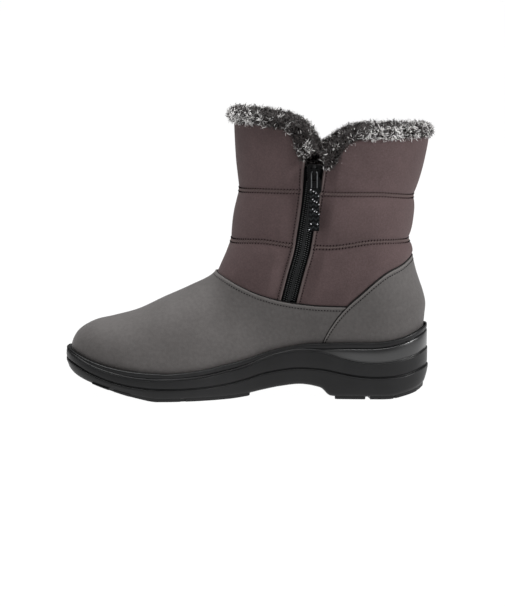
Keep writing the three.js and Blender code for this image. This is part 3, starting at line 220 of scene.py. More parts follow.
def plan_width(f, side, inset, tip):
    half = np.where(side < 0, half_inner(f), half_outer(f))
    ridge = ridge_line(f)
    start = 0.755 * SOLE_LENGTH
    toe = closing((f - start) / (tip - start), 2.3)
    return ridge + (side * (half - inset) - ridge) * toe


def section_rows():
    rows = []
    for front, up, back, back_up, round_front, round_back in FOOT_SECTIONS:
        f = front * SOLE_LENGTH
        rows.append((f, float(seat_height(f)) + up * INSTEP_RISE, back * BALL_WIDTH,
                     HEEL_SEAT + back_up * COUNTER_RISE, round_front, round_back))
    for front, up, back, back_up, round_front, round_back in SHAFT_SECTIONS:
        rows.append((front * SOLE_LENGTH, HEEL_SEAT + up * SHAFT_RISE, back * BALL_WIDTH,
                     HEEL_SEAT + back_up * SHAFT_RISE, round_front, round_back))
    return np.array(rows)


SECTIONS = section_rows()
LAST = len(SECTIONS) - 1


def spline(points, t):
    """Centripetal Catmull-Rom curve through points, at shares t of its rows."""
    points = np.asarray(points, dtype=float)
    ends = [2 * points[0] - points[1], *points, 2 * points[-1] - points[-2]]
    p = np.array(ends)
    x = np.clip(np.asarray(t, dtype=float), 0, 1) * (len(points) - 1)
    i = np.minimum(x.astype(int), len(points) - 2)
    u = (x - i)[..., None]
    p0, p1, p2, p3 = p[i], p[i + 1], p[i + 2], p[i + 3]
    d = [np.power(np.maximum(((b - a) ** 2).sum(-1), 1e-12), 0.25)[..., None]
         for a, b in ((p0, p1), (p1, p2), (p2, p3))]
    t1 = ((p1 - p0) / d[0] - (p2 - p0) / (d[0] + d[1]) + (p2 - p1) / d[1]) * d[1]
    t2 = ((p2 - p1) / d[1] - (p3 - p1) / (d[1] + d[2]) + (p3 - p2) / d[2]) * d[1]
    return (p1 + t1 * u + (-3 * p1 + 3 * p2 - 2 * t1 - t2) * u ** 2
            + (2 * p1 - 2 * p2 + t1 + t2) * u ** 3)


PROFILE_SAMPLES = 170
SAMPLE_SHARES = np.linspace(0, 1, PROFILE_SAMPLES + 1)
front_samples = spline(SECTIONS[:, 0:2], SAMPLE_SHARES)
back_samples = spline(SECTIONS[:, 2:4], SAMPLE_SHARES)
round_front = table_curve([(i, row[4]) for i, row in enumerate(SECTIONS)], 1, 1, BALL_WIDTH)
round_back = table_curve([(i, row[5]) for i, row in enumerate(SECTIONS)], 1, 1, BALL_WIDTH)


def nearest(samples, f, z):
    """Distance to a profile and the section there."""
    a = samples[:-1]
    d = samples[1:] - a
    length = (d ** 2).sum(1)
    flat_f = np.ravel(f)
    flat_z = np.ravel(z)
    gap = np.empty_like(flat_f)
    at = np.empty_like(flat_f)
    for start in range(0, len(flat_f), 8000):
        pf = flat_f[start:start + 8000, None]
        pz = flat_z[start:start + 8000, None]
        t = np.clip(((pf - a[:, 0]) * d[:, 0] + (pz - a[:, 1]) * d[:, 1]) / length, 0, 1)
        away = np.hypot(pf - a[:, 0] - t * d[:, 0], pz - a[:, 1] - t * d[:, 1])
        best = away.argmin(1)
        rows = np.arange(len(best))
        gap[start:start + 8000] = away[rows, best]
        at[start:start + 8000] = best + t[rows, best]
    shape = np.shape(f)
    return gap.reshape(shape), (at / PROFILE_SAMPLES * LAST).reshape(shape)


VAMP_TOP = front_samples[front_samples[:, 0].argmax():]
VAMP_TOP = VAMP_TOP[:VAMP_TOP[:, 0].argmin() + 1]


def vamp_height(f):
    order = VAMP_TOP[:, 0].argsort()
    return np.interp(f, VAMP_TOP[order, 0], VAMP_TOP[order, 1])


TIP = FOOT_SECTIONS[0][0] * SOLE_LENGTH + GAP
SECTION_POWER = 2.15


def rounding(share):
    return closing(1 - np.clip(share, 0, 1), SECTION_POWER)


def forefoot_share(f):
    return smooth(0.6 * SOLE_LENGTH, 0.7 * SOLE_LENGTH, f)


def flare_at(f, z):
    return smooth(12, 80, z - HEEL_SEAT) * (1 - forefoot_share(f))


def middle_line(f, z):
    return ridge_line(f) * (1 - flare_at(f, z))


def last_side(f, z, side):
    """Sideways place of the upper's outer face. side: -1 inner, 1 outer, 0 on the middle line."""
    f, z, side = np.broadcast_arrays(*(np.asarray(v, dtype=float) for v in (f, z, side)))
    forefoot = forefoot_share(f)
    inset = mix(HEEL_INSET, SIDE_INSET, smooth(0, 0.3 * SOLE_LENGTH, f))
    foot = plan_width(f, side, inset, TIP)
    full = mix(foot, side * shaft_half(z - HEEL_SEAT), flare_at(f, z))
    ridge = middle_line(f, z)
    gap, section = nearest(back_samples, f, z)
    back_part = np.where(f < 0.5 * SOLE_LENGTH, rounding(gap / round_back(section)), 1)
    gap, section = nearest(front_samples, f, z)
    front_part = rounding(gap / round_front(section))
    top = vamp_height(f)
    depth = (top - seat_height(f)) * 0.82
    front_part = mix(front_part, rounding((top - z) / depth), forefoot)
    y = ridge + (full - ridge) * front_part * back_part
    return np.where(side == 0, ridge, y)


def collar_height(f):
    low = SECTIONS[LAST]
    return mix(low[3], low[1], (f - low[2]) / (low[0] - low[2]))


def slot_half(up):
    return mix(12.5, 15.0, smooth(0.7, 0.95, up / SHAFT_RISE)) / 2


def quilt(f, z, side):
    """Height of the padding over the last: three bands between seams, flat beside the zip."""
    up = z - HEEL_SEAT
    edges = [np.maximum(vamp_edge(f), counter_edge(f)), lower_seam(f), upper_seam(f),
             collar_height(f) - HEEL_SEAT + 16]
    pad = np.zeros_like(np.asarray(f, dtype=float))
    for low, high in zip(edges[:-1], edges[1:]):
        inside = (up >= low) & (up < high)
        t = (up - low) / (high - low)
        pad = np.where(inside, 1 - np.power(np.abs(2 * t - 1), QUILT_POWER), pad)
    size = mix(QUILT_BULGE, QUILT_BULGE_FRONT, smooth(0.42 * SOLE_LENGTH, 0.53 * SOLE_LENGTH, f))
    to_zip = np.abs(f - zip_middle(up)) - slot_half(up)
    beside = np.where(side < 0, smooth(3, 13, to_zip), 1)
    return size * pad * beside


def on_last(f, z, side):
    """Points on the upper's outer face, at places seen from the side."""
    return np.stack([f, last_side(f, z, side), z], -1)


def last_point(v, a):
    """Place (f, z) and side of section v at angle a: 0 at the heel, pi at the front."""
    share = np.clip(v, 0, LAST) / LAST
    front = spline(SECTIONS[:, 0:2], share)
    back = spline(SECTIONS[:, 2:4], share)
    t = (1 - np.cos(a)) / 2
    f = mix(back[..., 0], front[..., 0], t)
    level = mix(seat_height(back[..., 0]), seat_height(front[..., 0]), t)
    sag = np.power(np.maximum(0, 1 - v / 6), 2)
    z = mix(back[..., 1], front[..., 1], t) + sag * (seat_height(f) - level)
    side = np.where(np.abs(np.sin(a)) < 1e-6, 0, np.where(np.sin(a) > 0, -1, 1))
    return f, z, side


# Mesh helpers
def to_world(points):
    """From (f, y, z) in millimetres to the row frame in metres."""
    p = np.asarray(points, dtype=float)
    return np.stack([HEEL_ORIGIN - p[..., 0], p[..., 1], p[..., 2]], -1) * MM


def normals_of(grid):
    """Unit normals of a grid of points whose rows go up and whose columns run heel, inner, toe."""
    return unit(np.cross(np.gradient(grid, axis=1), np.gradient(grid, axis=0)))


def make_object(name, verts, faces, material, body="boot", smooth_shade=True, attributes=None):
    mesh = bpy.data.meshes.new(name)
    mesh.from_pydata([tuple(v) for v in verts], [], [tuple(int(i) for i in face) for face in faces])
    mesh.validate()
    if smooth_shade:
        mesh.polygons.foreach_set("use_smooth", [True] * len(mesh.polygons))
    for key, values in (attributes or {}).items():
        layer = mesh.attributes.new(key, "FLOAT", "POINT")
        layer.data.foreach_set("value", np.asarray(values, dtype=np.float32).ravel())
    obj = bpy.data.objects.new(name, mesh)
    bpy.context.scene.collection.objects.link(obj)
    mesh.materials.append(material)
    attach(obj, body)
    return obj


def grid_faces(rows, columns, closed=False, flip=False, first=0):
    faces = []
    for r in range(rows - 1):
        for c in range(columns if closed else columns - 1):
            d = (c + 1) % columns
            quad = (r * columns + c, r * columns + d, (r + 1) * columns + d, (r + 1) * columns + c)
            quad = tuple(i + first for i in quad)
            faces.append(quad if flip else quad[::-1])
    return faces


def grid_object(name, grid, material, flip=False, attributes=None):
    rows, columns = grid.shape[:2]
    verts = to_world(grid).reshape(-1, 3)
    faces = grid_faces(rows, columns, flip=flip)
    return make_object(name, verts, faces, material, attributes=attributes)


def merge_grids(name, grids, material, body="boot"):
    """One object from several closed strips, each a grid whose columns wrap round."""
    verts = []
    faces = []
    for grid in grids:
        first = sum(len(v) for v in verts)
        verts.append(to_world(grid).reshape(-1, 3))
        faces += grid_faces(grid.shape[0], grid.shape[1], closed=True, first=first)
        faces.append(tuple(range(first, first + grid.shape[1])))
        top = first + (grid.shape[0] - 1) * grid.shape[1]
        faces.append(tuple(range(top, top + grid.shape[1]))[::-1])
    return make_object(name, np.concatenate(verts), faces, material, body)


# Materials
def new_material(name):
    material = bpy.data.materials.new(name)
    material.use_nodes = True
    nodes = material.node_tree.nodes
    return material, nodes, material.node_tree.links, nodes["Principled BSDF"]


def srgb(r, g, b):
    def linear(c):
        c = c / 255
        return c / 12.92 if c <= 0.04045 else ((c + 0.055) / 1.055) ** 2.4
    return (linear(r), linear(g), linear(b), 1.0)


def grey(level):
    return (level, level, level, 1)


def noise(nodes, links, coords, scale, detail=3.0, rough=0.5):
    node = nodes.new("ShaderNodeTexNoise")
    node.inputs["Scale"].default_value = scale
    node.inputs["Detail"].default_value = detail
    node.inputs["Roughness"].default_value = rough
    links.new(coords.outputs["Object"], node.inputs["Vector"])
    return node


def ramp(nodes, links, source, stops):
    node = nodes.new("ShaderNodeValToRGB")
    node.color_ramp.elements[0].position = stops[0][0]
    node.color_ramp.elements[0].color = stops[0][1]
    node.color_ramp.elements[1].position = stops[-1][0]
    node.color_ramp.elements[1].color = stops[-1][1]
    for place, colour in stops[1:-1]:
        node.color_ramp.elements.new(place).color = colour
    links.new(source, node.inputs["Fac"])
    return node


def bump_chain(nodes, links, shader, heights):
    """Stacks bumps, each a (socket, strength, distance) triple."""
    last = None
    for socket, strength, distance in heights:
        bump = nodes.new("ShaderNodeBump")
        bump.inputs["Strength"].default_value = strength
        bump.inputs["Distance"].default_value = distance
        links.new(socket, bump.inputs["Height"])
        if last is not None:
            links.new(last.outputs["Normal"], bump.inputs["Normal"])
        last = bump
    links.new(last.outputs["Normal"], shader.inputs["Normal"])


def mix_colour(nodes, links, factor, a, b, blend="MIX"):
    node = nodes.new("ShaderNodeMix")
    node.data_type = "RGBA"
    node.blend_type = blend
    for socket, value in ((node.inputs[0], factor), (node.inputs[6], a), (node.inputs[7], b)):
        if isinstance(value, (tuple, float, int)):
            socket.default_value = value
        else:
            links.new(value, socket)
    return node.outputs[2]


def speckled(nodes, links, colours, grain, low, high, share):
    """A colour ramp with a fine grain of light and shade over it."""
    speck = ramp(nodes, links, grain.outputs["Fac"], [(low[0], grey(low[1])), (high[0], grey(high[1]))])
    return mix_colour(nodes, links, share, colours.outputs["Color"], speck.outputs["Color"], "MULTIPLY")


def set_inputs(shader, values):
    for name, value in values.items():
        shader.inputs[name].default_value = value


def attribute(nodes, name):
    node = nodes.new("ShaderNodeAttribute")
    node.attribute_name = name
    return node.outputs["Fac"]


def weave(nodes, links, coords, pitch):
    """Height of a plain weave from two crossed waves."""
    waves = []
    for direction in ("X", "Z"):
        node = nodes.new("ShaderNodeTexWave")
        node.bands_direction = direction
        node.inputs["Scale"].default_value = 1 / (pitch * 6.2832) * math.pi
        node.inputs["Distortion"].default_value = 0.6
        node.inputs["Detail"].default_value = 1.0
        links.new(coords.outputs["Object"], node.inputs["Vector"])
        waves.append(node.outputs["Fac"])
    add = nodes.new("ShaderNodeMath")
    add.operation = "ADD"
    links.new(waves[0], add.inputs[0])
    links.new(waves[1], add.inputs[1])
    return add.outputs[0]


def fabric_material(name, dark, light, roughness=0.82, sheen=0.25, shine=0.3):
    material, nodes, links, shader = new_material(name)
    coords = nodes.new("ShaderNodeTexCoord")
    broad = noise(nodes, links, coords, 22, 3, 0.55)
    fine = noise(nodes, links, coords, 900, 2, 0.6)
    colours = ramp(nodes, links, broad.outputs["Fac"], [(0.3, dark), (0.72, light)])
    base = speckled(nodes, links, colours, fine, (0.35, 0.8), (0.7, 1.1), 0.8)
    links.new(base, shader.inputs["Base Color"])
    set_inputs(shader, {"Roughness": roughness, "Specular IOR Level": shine, "Sheen Weight": sheen,
                        "Sheen Roughness": 0.5})
    heights = [(weave(nodes, links, coords, 0.00055), 0.35, 0.0002),
               (fine.outputs["Fac"], 0.3, 0.0003)]
    bump_chain(nodes, links, shader, heights)
    return material


def nubuck_material():
    material, nodes, links, shader = new_material("nubuck")
    coords = nodes.new("ShaderNodeTexCoord")
    broad = noise(nodes, links, coords, 26, 4, 0.6)
    nap = noise(nodes, links, coords, 420, 4, 0.7)
    colours = ramp(nodes, links, broad.outputs["Fac"], [
        (0.3, srgb(82, 79, 78)), (0.5, srgb(86, 83, 82)), (0.72, srgb(91, 88, 87))])
    base = speckled(nodes, links, colours, nap, (0.3, 0.86), (0.7, 1.12), 0.9)
    # Lighter colour along the overlays' folded edges: partly wear, partly a painted highlight on the fold.
    worn_and_edge_highlight = mix_colour(nodes, links, attribute(nodes, "edge"), base, srgb(140, 136, 133))
    links.new(worn_and_edge_highlight, shader.inputs["Base Color"])
    set_inputs(shader, {"Roughness": 0.72, "Specular IOR Level": 0.25, "Sheen Weight": 0.1,
                        "Sheen Roughness": 0.45})
    grain = noise(nodes, links, coords, 1400, 3, 0.6)
    heights = [(nap.outputs["Fac"], 0.25, 0.0004), (grain.outputs["Fac"], 0.3, 0.0002)]
    bump_chain(nodes, links, shader, heights)
    return material


def rubber_material():
    material, nodes, links, shader = new_material("rubber")
    coords = nodes.new("ShaderNodeTexCoord")
    broad = noise(nodes, links, coords, 40, 4, 0.6)
    colours = ramp(nodes, links, broad.outputs["Fac"], [(0.3, srgb(19, 19, 20)), (0.7, srgb(26, 26, 27))])
    links.new(colours.outputs["Color"], shader.inputs["Base Color"])
    for socket, dull, polished in (("Roughness", 0.44, 0.3), ("Specular IOR Level", 0.28, 0.85)):
        span = nodes.new("ShaderNodeMapRange")
        span.inputs["To Min"].default_value = dull
        span.inputs["To Max"].default_value = polished
        links.new(attribute(nodes, "polish"), span.inputs["Value"])
        links.new(span.outputs["Result"], shader.inputs[socket])
    grain = noise(nodes, links, coords, 1100, 3, 0.6)
    bump_chain(nodes, links, shader, [(grain.outputs["Fac"], 0.22, 0.0002)])
    return material


def fur_material():
    """Dark at the root and pale at some tips."""
    material, nodes, links, shader = new_material("fur")
    tip = attribute(nodes, "tip")
    pale = attribute(nodes, "pale")
    dark = ramp(nodes, links, tip, [(0.0, srgb(6, 5, 4)), (0.6, srgb(33, 25, 23)), (1.0, srgb(52, 41, 38))])
    light = ramp(nodes, links, tip, [
        (0.0, srgb(12, 10, 9)), (0.3, srgb(70, 64, 62)), (0.5, srgb(236, 234, 232)),
        (1.0, srgb(252, 251, 250))])
    links.new(mix_colour(nodes, links, pale, dark.outputs["Color"], light.outputs["Color"]),
              shader.inputs["Base Color"])
    set_inputs(shader, {"Roughness": 0.6, "Sheen Weight": 0.2})
    return material


def plain_material(name, colour, roughness, metallic=0.0, grain=700, strength=0.2, shine=0.3):
    material, nodes, links, shader = new_material(name)
    coords = nodes.new("ShaderNodeTexCoord")
    fine = noise(nodes, links, coords, grain, 3, 0.6)
    darker = tuple(c * 0.8 for c in colour[:3]) + (1.0,)
    lighter = tuple(min(1.0, c * 1.2) for c in colour[:3]) + (1.0,)
    colours = ramp(nodes, links, fine.outputs["Fac"], [(0.3, darker), (0.7, lighter)])
    links.new(colours.outputs["Color"], shader.inputs["Base Color"])
    set_inputs(shader, {"Roughness": roughness, "Metallic": metallic, "Specular IOR Level": shine})
    bump_chain(nodes, links, shader, [(fine.outputs["Fac"], strength, 0.0002)])
    return material


QUILT = fabric_material("quilt", srgb(80, 66, 66), srgb(95, 79, 79), 0.88, 0.05, 0.2)
FACING = fabric_material("facing", srgb(92, 81, 80), srgb(106, 94, 93), 0.85, 0.05, 0.2)
NUBUCK = nubuck_material()
RUBBER = rubber_material()
FUR = fur_material()
PLUSH = plain_material("plush", srgb(13, 10, 9), 0.95, grain=500, strength=0.9, shine=0.05)
THREAD = plain_material("thread", srgb(126, 111, 108), 0.7, grain=2500)
DARK_THREAD = plain_material("dark_thread", srgb(24, 21, 21), 0.8, grain=2500, shine=0.1)
# Near-black for the seam's stitch holes: painted shade, set on small raised bars.
PINHOLE_SHADE = plain_material("pinhole", srgb(7, 5, 5), 0.95, shine=0.0)
# Grey for the coil's loops, lighter than the black chain: painted highlights on the loops.
LIT_COIL = plain_material("zip", srgb(62, 65, 65), 0.45, grain=1500, shine=0.3)
CORD = plain_material("cord", srgb(52, 53, 54), 0.7, grain=2500, shine=0.1)
TAPE = fabric_material("tape", srgb(5, 5, 6), srgb(11, 11, 12), sheen=0.0, shine=0.08)
LACQUER = plain_material("lacquer", srgb(7, 7, 8), 0.35, grain=300, strength=0.03, shine=0.1)
# A bright metal for the tab's rim, lighter than the tab's black lacquer: painted highlights of its edges.
HIGHLIGHT_RIM = plain_material("highlight_rim", srgb(96, 98, 100), 0.3, 0.8, grain=300, strength=0.03, shine=0.5)
BRAID = fabric_material("braid", srgb(7, 8, 9), srgb(16, 17, 18), sheen=0.0, shine=0.1)
BRAID_LIGHT = fabric_material("braid_light", srgb(30, 32, 33), srgb(50, 53, 55), sheen=0.0, shine=0.1)
FLECK = plain_material("fleck", srgb(226, 226, 230), 0.25, 0.6)
# Dark cord colour: a joint line at the counter, a painted shadow of the gap at the vamp.
PIPING_AND_GAP_SHADOW = plain_material("piping_and_gap_shadow", srgb(22, 19, 19), 0.7)


# Shaft: one sheet from the zip's front edge round the front and the heel to its back edge
def profile_f(samples, z):
    return np.interp(z, samples[:, 1], samples[:, 0])


SHAFT_COLUMNS = 330
SHAFT_ROWS = 112
UNDERLAP = 7.0  # how far the fabric runs under the overlays


def shaft_angles(z, u):
    """Angle of column u (0 at the zip's front edge, 1 at its back edge) at height z."""
    up = z - HEEL_SEAT
    front = profile_f(front_samples, z)
    back = profile_f(back_samples, z)
    middle = zip_middle(up)
    half = slot_half(up)
    start = np.arccos(np.clip(1 - 2 * (middle + half - back) / (front - back), -1, 1))
    end = np.arccos(np.clip(1 - 2 * (middle - half - back) / (front - back), -1, 1)) + 2 * math.pi
    return mix(start, end, u)


def shaft_place(z, u):
    a = shaft_angles(z, u)
    f = mix(profile_f(back_samples, z), profile_f(front_samples, z), (1 - np.cos(a)) / 2)
    return f, np.where(np.sin(a) >= 0, -1.0, 1.0)


def shaft_limits(u):
    top = np.full_like(u, 190.0)
    low = np.full_like(u, 90.0)
    for _ in range(30):
        f, side = shaft_place(top, u)
        top = mix(top, collar_height(f) - notch_dip(f, side), 0.6)
        f, side = shaft_place(low, u)
        edge = HEEL_SEAT + np.maximum(vamp_edge(f), counter_edge(f)) - UNDERLAP
        low = mix(low, edge, 0.6)
    return low, top


def seam_groove(f, z, side):
    """Extra dip of the strip between the two stitch rows of each seam."""
    up = z - HEEL_SEAT
    dip = 0
    for seam in (lower_seam(f), upper_seam(f)):
        dip = dip + 0.3 * np.exp(-((up - seam) / 2.4) ** 2)
    return dip * smooth(1.5, 4, beside_zip(f, z, side))


def soft_noise(points, seed, size):
    """Smooth low noise from a few sines, for creases and unevenness."""
    chance = np.random.default_rng(seed)
    x, y, z = np.moveaxis(points, -1, 0)
    total = 0
    for _ in range(7):
        d = chance.normal(size=3)
        d = d / np.linalg.norm(d) * chance.uniform(0.6, 1.8) / size
        total = total + np.sin(x * d[0] + y * d[1] + z * d[2] + chance.uniform(0, 6.28))
    return total / 7


def shaft_grid(offset, padded):
    # Columns crowd towards the zip, where the notch is steep.
    s = np.linspace(0, 1, SHAFT_COLUMNS)
    u = s + 0.055 * np.sin(4 * math.pi * s) * -0.5 - 0.03 * np.sin(2 * math.pi * s)
    low, top = shaft_limits(u)
    z = mix(low[None, :], top[None, :], np.linspace(0, 1, SHAFT_ROWS)[:, None])
    f, side = shaft_place(z, np.broadcast_to(u, z.shape))
    base = on_last(f, z, side)
    push = offset
    if padded:
        height = quilt(f, z, side)
        push = push + height - seam_groove(f, z, side)
        push = push + 0.5 * soft_noise(base * np.array([1, 1, 1.8]), 3, 11) * np.minimum(1, height / 1.5)
    return base + normals_of(base) * np.asarray(push)[..., None]


def make_shaft():
    outer = shaft_grid(0.0, True)
    lining = shaft_grid(-WALL, False)
    rows, columns = outer.shape[:2]
    verts = np.concatenate([to_world(outer).reshape(-1, 3), to_world(lining).reshape(-1, 3)])
    faces = grid_faces(rows, columns)
    count = rows * columns
    # Close the rims along the top and beside the zip.
    for c in range(columns - 1):
        a = (rows - 1) * columns + c
        faces.append((a, a + 1, a + 1 + count, a + count)[::-1])
    for r in range(rows - 1):
        a = r * columns
        b = a + columns - 1
        faces.append((a, a + columns, a + columns + count, a + count)[::-1])
        faces.append((b, b + columns, b + columns + count, b + count))
    obj = make_object("upper_shell", verts, faces, QUILT)
    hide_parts("upper")
    grid_object("lining", lining, PLUSH, flip=True)


# Overlays
def steady_values(values):
    """Values, each replaced by the median of its neighbours."""
    reach = max(3, len(values) // 16)
    padded = np.pad(values, (reach, reach), mode="edge")
    middle = np.median([padded[k:k + len(values)] for k in range(2 * reach + 1)], axis=0)
    return np.where(np.abs(values - middle) > 0.35, middle, values)


def edge_section(edge, angles, below=0.0):
    """Section where each angle crosses an edge line, or a line that far below it."""
    low = np.zeros_like(angles)
    high = np.full_like(angles, 11.0)
    for _ in range(40):
        half = (low + high) / 2
        f, z, _ = last_point(half, angles)
        above = z > HEEL_SEAT + edge(f) - below
        high = np.where(above, half, high)
        low = np.where(above, low, half)
    return steady_values((low + high) / 2)


EDGE_FOLD = ((0.012, 0.93), (0.02, 0.72), (0.022, 0.4), (0.02, 0.05))  # rise, share of the layer


def overlay_grid(angles, edge, layer, rows, lift_edge):
    """A sheet from the sole up to an edge line, folded over at the edge, and its distance to it."""
    top = edge_section(edge, angles)
    w = np.linspace(0, 1, rows) ** 0.9
    v = np.concatenate([w[:, None] * top[None, :], [top + rise for rise, _ in EDGE_FOLD]])
    offsets = np.full(rows, GAP + layer)
    offsets = np.concatenate([offsets, [(GAP + layer) * share for _, share in EDGE_FOLD]])
    f, z, side = last_point(v, np.broadcast_to(angles, v.shape))
    base = on_last(f, z, side)
    to_edge = HEEL_SEAT + edge(f) - z
    tuck = FEATHER_TUCK * np.power(1 - np.clip((z - seat_height(f)) / 10, 0, 1), 2)
    lip = lift_edge * np.exp(-np.power(np.maximum(0, to_edge) / 1.3, 2))
    stitch = 0.35 * np.exp(-np.power((to_edge - 2.9) / 0.7, 2))
    push = offsets[:, None] - tuck + lip - stitch
    push = push + 0.18 * soft_noise(base, 11, 9)
    return base + normals_of(base) * push[..., None], to_edge


# How far the nubuck lightens near an overlay's edge: wear and a painted highlight on the folded edge.
def edge_attribute(to_edge, width):
    return np.exp(-np.power(np.maximum(0, to_edge) / width, 2)) * 0.55


def angles_for(f_limit, through_toe, count):
    """Angles from one side to the other, through the toe or round the heel, ending at f."""
    share = (f_limit - 8) / (SOLE_LENGTH * 0.97 - 8)
    a = math.acos(1 - 2 * share)
    if through_toe:
        return np.linspace(a, 2 * math.pi - a, count)
    return np.linspace(-a, a, count)


def make_vamp():
    grid, to_edge = overlay_grid(angles_for(48, True, 261), vamp_edge, VAMP_LAYER, 64, 0.25)
    obj = grid_object("vamp_leather", grid, NUBUCK,
                      attributes={"edge": 0.6 * edge_attribute(to_edge, 0.9)})
    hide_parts("vamp")


def make_counter():
    grid, to_edge = overlay_grid(angles_for(92, False, 151), counter_edge, COUNTER_LAYER, 56, 0.2)
    obj = grid_object("counter_leather", grid, NUBUCK,
                      attributes={"edge": 0.8 * edge_attribute(to_edge, 0.9)})
    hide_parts("heel_counter")


def surface_path(f, z, side, offset):
    """Points and outward normals on the last at given places seen from the side."""
    d = 0.6
    here = on_last(f, z, side)
    n = unit(np.cross(on_last(f + d, z, side) - here, on_last(f, z + d, side) - here))
    n = n * np.where(n[..., 1:2] * np.sign(side)[..., None] < 0, -1, 1)
    return here + n * np.asarray(offset)[..., None], n


def resample(points, extras, pitch):
    """Even steps along a line of points, with values that go with them."""
    steps = np.linalg.norm(np.diff(points, axis=0), axis=1)
    along = np.concatenate([[0], np.cumsum(steps)])
    count = max(2, int(along[-1] / pitch))
    at = np.linspace(0, along[-1], count)
    place = np.stack([np.interp(at, along, points[:, k]) for k in range(3)], -1)
    values = np.stack([np.interp(at, along, extras[:, k]) for k in range(3)], -1)
    return place, unit(values)


def oval_bars(places, along, up, length, radius, lift, flat=1.0):
    """Short rounded bars at places, each lying along a direction, with its outward normal."""
    across = np.cross(along, up)
    rings = ((-0.5, 0.3), (-0.34, 0.9), (0.0, 1.0), (0.34, 0.9), (0.5, 0.3))
    turn = np.arange(6) * math.pi / 3
    verts = []
    for share, size in rings:
        side = across[:, None, :] * (radius * size * np.cos(turn))[None, :, None]
        rise = up[:, None, :] * (radius * size * flat * np.sin(turn) + lift)[None, :, None]
        verts.append((places + along * length * share)[:, None, :] + side + rise)
    verts = np.stack(verts, 1)
    faces = []
    per = len(rings) * 6
    for i in range(len(places)):
        first = i * per
        for r in range(len(rings) - 1):
            for k in range(6):
                j = (k + 1) % 6
                a = first + r * 6
                faces.append((a + k, a + j, a + 6 + j, a + 6 + k))
        faces.append(tuple(first + k for k in range(6))[::-1])
        faces.append(tuple(first + per - 6 + k for k in range(6)))
    return verts.reshape(-1, 3), faces


def make_stitches(name, lines, pitch, length, radius, lift, material):
    """One bar for each stitch, along lines of (points, normals)."""
    spots = [resample(points, n, pitch) for points, n in lines]
    places = np.concatenate([place for place, _ in spots])
    along = np.concatenate([unit(np.gradient(place, axis=0)) for place, _ in spots])
    up = np.concatenate([up for _, up in spots])
    verts, faces = oval_bars(places, along, up, length, radius, lift)
    make_object(name, to_world(verts), faces, material)


def tube(name, points, n, radius, material):
    """A thin round cord along points with their outward normals."""
    across = np.cross(unit(np.gradient(points, axis=0)), n)
    turn = np.arange(8) * math.pi / 4
    grid = (points[:, None, :] + n[:, None, :] * (radius * np.sin(turn))[None, :, None]
            + across[:, None, :] * (radius * np.cos(turn))[None, :, None])
    return merge_grids(name, [grid], material)


def beside_zip(f, z, side):
    """Distance from the zip's slot, large on the outer side."""
    up = z - HEEL_SEAT
    return np.where(side < 0, np.abs(f - zip_middle(up)) - slot_half(up), 99)


def seam_lines(rows):
    """Both stitch rows of both seams, round the shaft from one side of the zip to the other."""
    lines = []
    for seam in (lower_seam, upper_seam):
        for row in rows:
            u = np.linspace(0, 1, 700)
            z = np.full_like(u, 120.0 if seam is lower_seam else 156.0)
            for _ in range(12):
                f, side = shaft_place(z, u)
                z = HEEL_SEAT + seam(f) + row
            points = on_last(f, z, side)
            n = unit(np.cross(np.gradient(points, axis=0), UPWARD))
            push = quilt(f, z, side) - seam_groove(f, z, side)
            points = points + n * push[:, None]
            keep = beside_zip(f, z, side) > 1.2
            lines.append((points[keep], n[keep]))
    return lines


def steady(points, most):
    """Points, with those that stray from their neighbours put back among them."""
    padded = np.pad(points, ((5, 5), (0, 0)), mode="edge")
    middle = np.median([padded[k:k + len(points)] for k in range(11)], axis=0)
    stray = np.linalg.norm(points - middle, axis=1) > most
    return np.where(stray[:, None], middle, points)


def edge_line(edge, angles, below, offset):
    """Points and normals along a line below an overlay's edge, lifted off the last."""
    v = edge_section(edge, angles, below)
    grid = np.array([on_last(*last_point(v + step, angles)) for step in (-0.03, 0.0, 0.03)])
    n = unit(steady(normals_of(grid)[1], 0.3))
    return steady(grid[1], 0.8) + n * offset, n


SEAM_ROWS = (-1.5, 1.5)
SEAM_PITCH = 2.4
EDGE_STITCH = (2.2, 1.35, 0.36, 0.1)  # pitch, length, radius, lift
FACING_STITCH = (2.2, 1.4, 0.34, 0.08)


def zigzag_thread(name, low, high):
    """The thread that crosses between a seam's two rows."""
    a, up = resample(low[0], low[1], SEAM_PITCH)
    b, _ = resample(high[0], high[1], SEAM_PITCH)
    count = min(len(a), len(b)) - 1
    straight = slice(0, count), slice(1, count + 1)
    places = np.concatenate([(a[part] + b[1:count + 1]) / 2 for part in straight])
    along = np.concatenate([b[1:count + 1] - a[part] for part in straight])
    ups = np.concatenate([up[part] for part in straight])
    verts, faces = oval_bars(places, unit(along), ups, 2.1, 0.17, 0.2)
    make_object(name, to_world(verts), faces, THREAD)


def make_all_stitches():
    lines = seam_lines(SEAM_ROWS)
    # Near-black bars at the stitch holes: painted shade of the holes.
    make_stitches("seam_pinhole_shade", lines, SEAM_PITCH, 0.8, 0.52, 0.2, PINHOLE_SHADE)
    for k in range(2):
        zigzag_thread("seam_thread_%d" % k, lines[2 * k], lines[2 * k + 1])
    points, n = edge_line(vamp_edge, angles_for(66, True, 600), 2.7, GAP + VAMP_LAYER - 0.3)
    above = points[:, 2] > HEEL_SEAT + counter_edge(points[:, 0]) + 1
    make_stitches("vamp_stitches", [(points[above], n[above])], *EDGE_STITCH, DARK_THREAD)
    points, n = edge_line(counter_edge, angles_for(84, False, 500), 3.0, GAP + COUNTER_LAYER - 0.3)
    make_stitches("counter_stitches", [(points, n)], *EDGE_STITCH, DARK_THREAD)


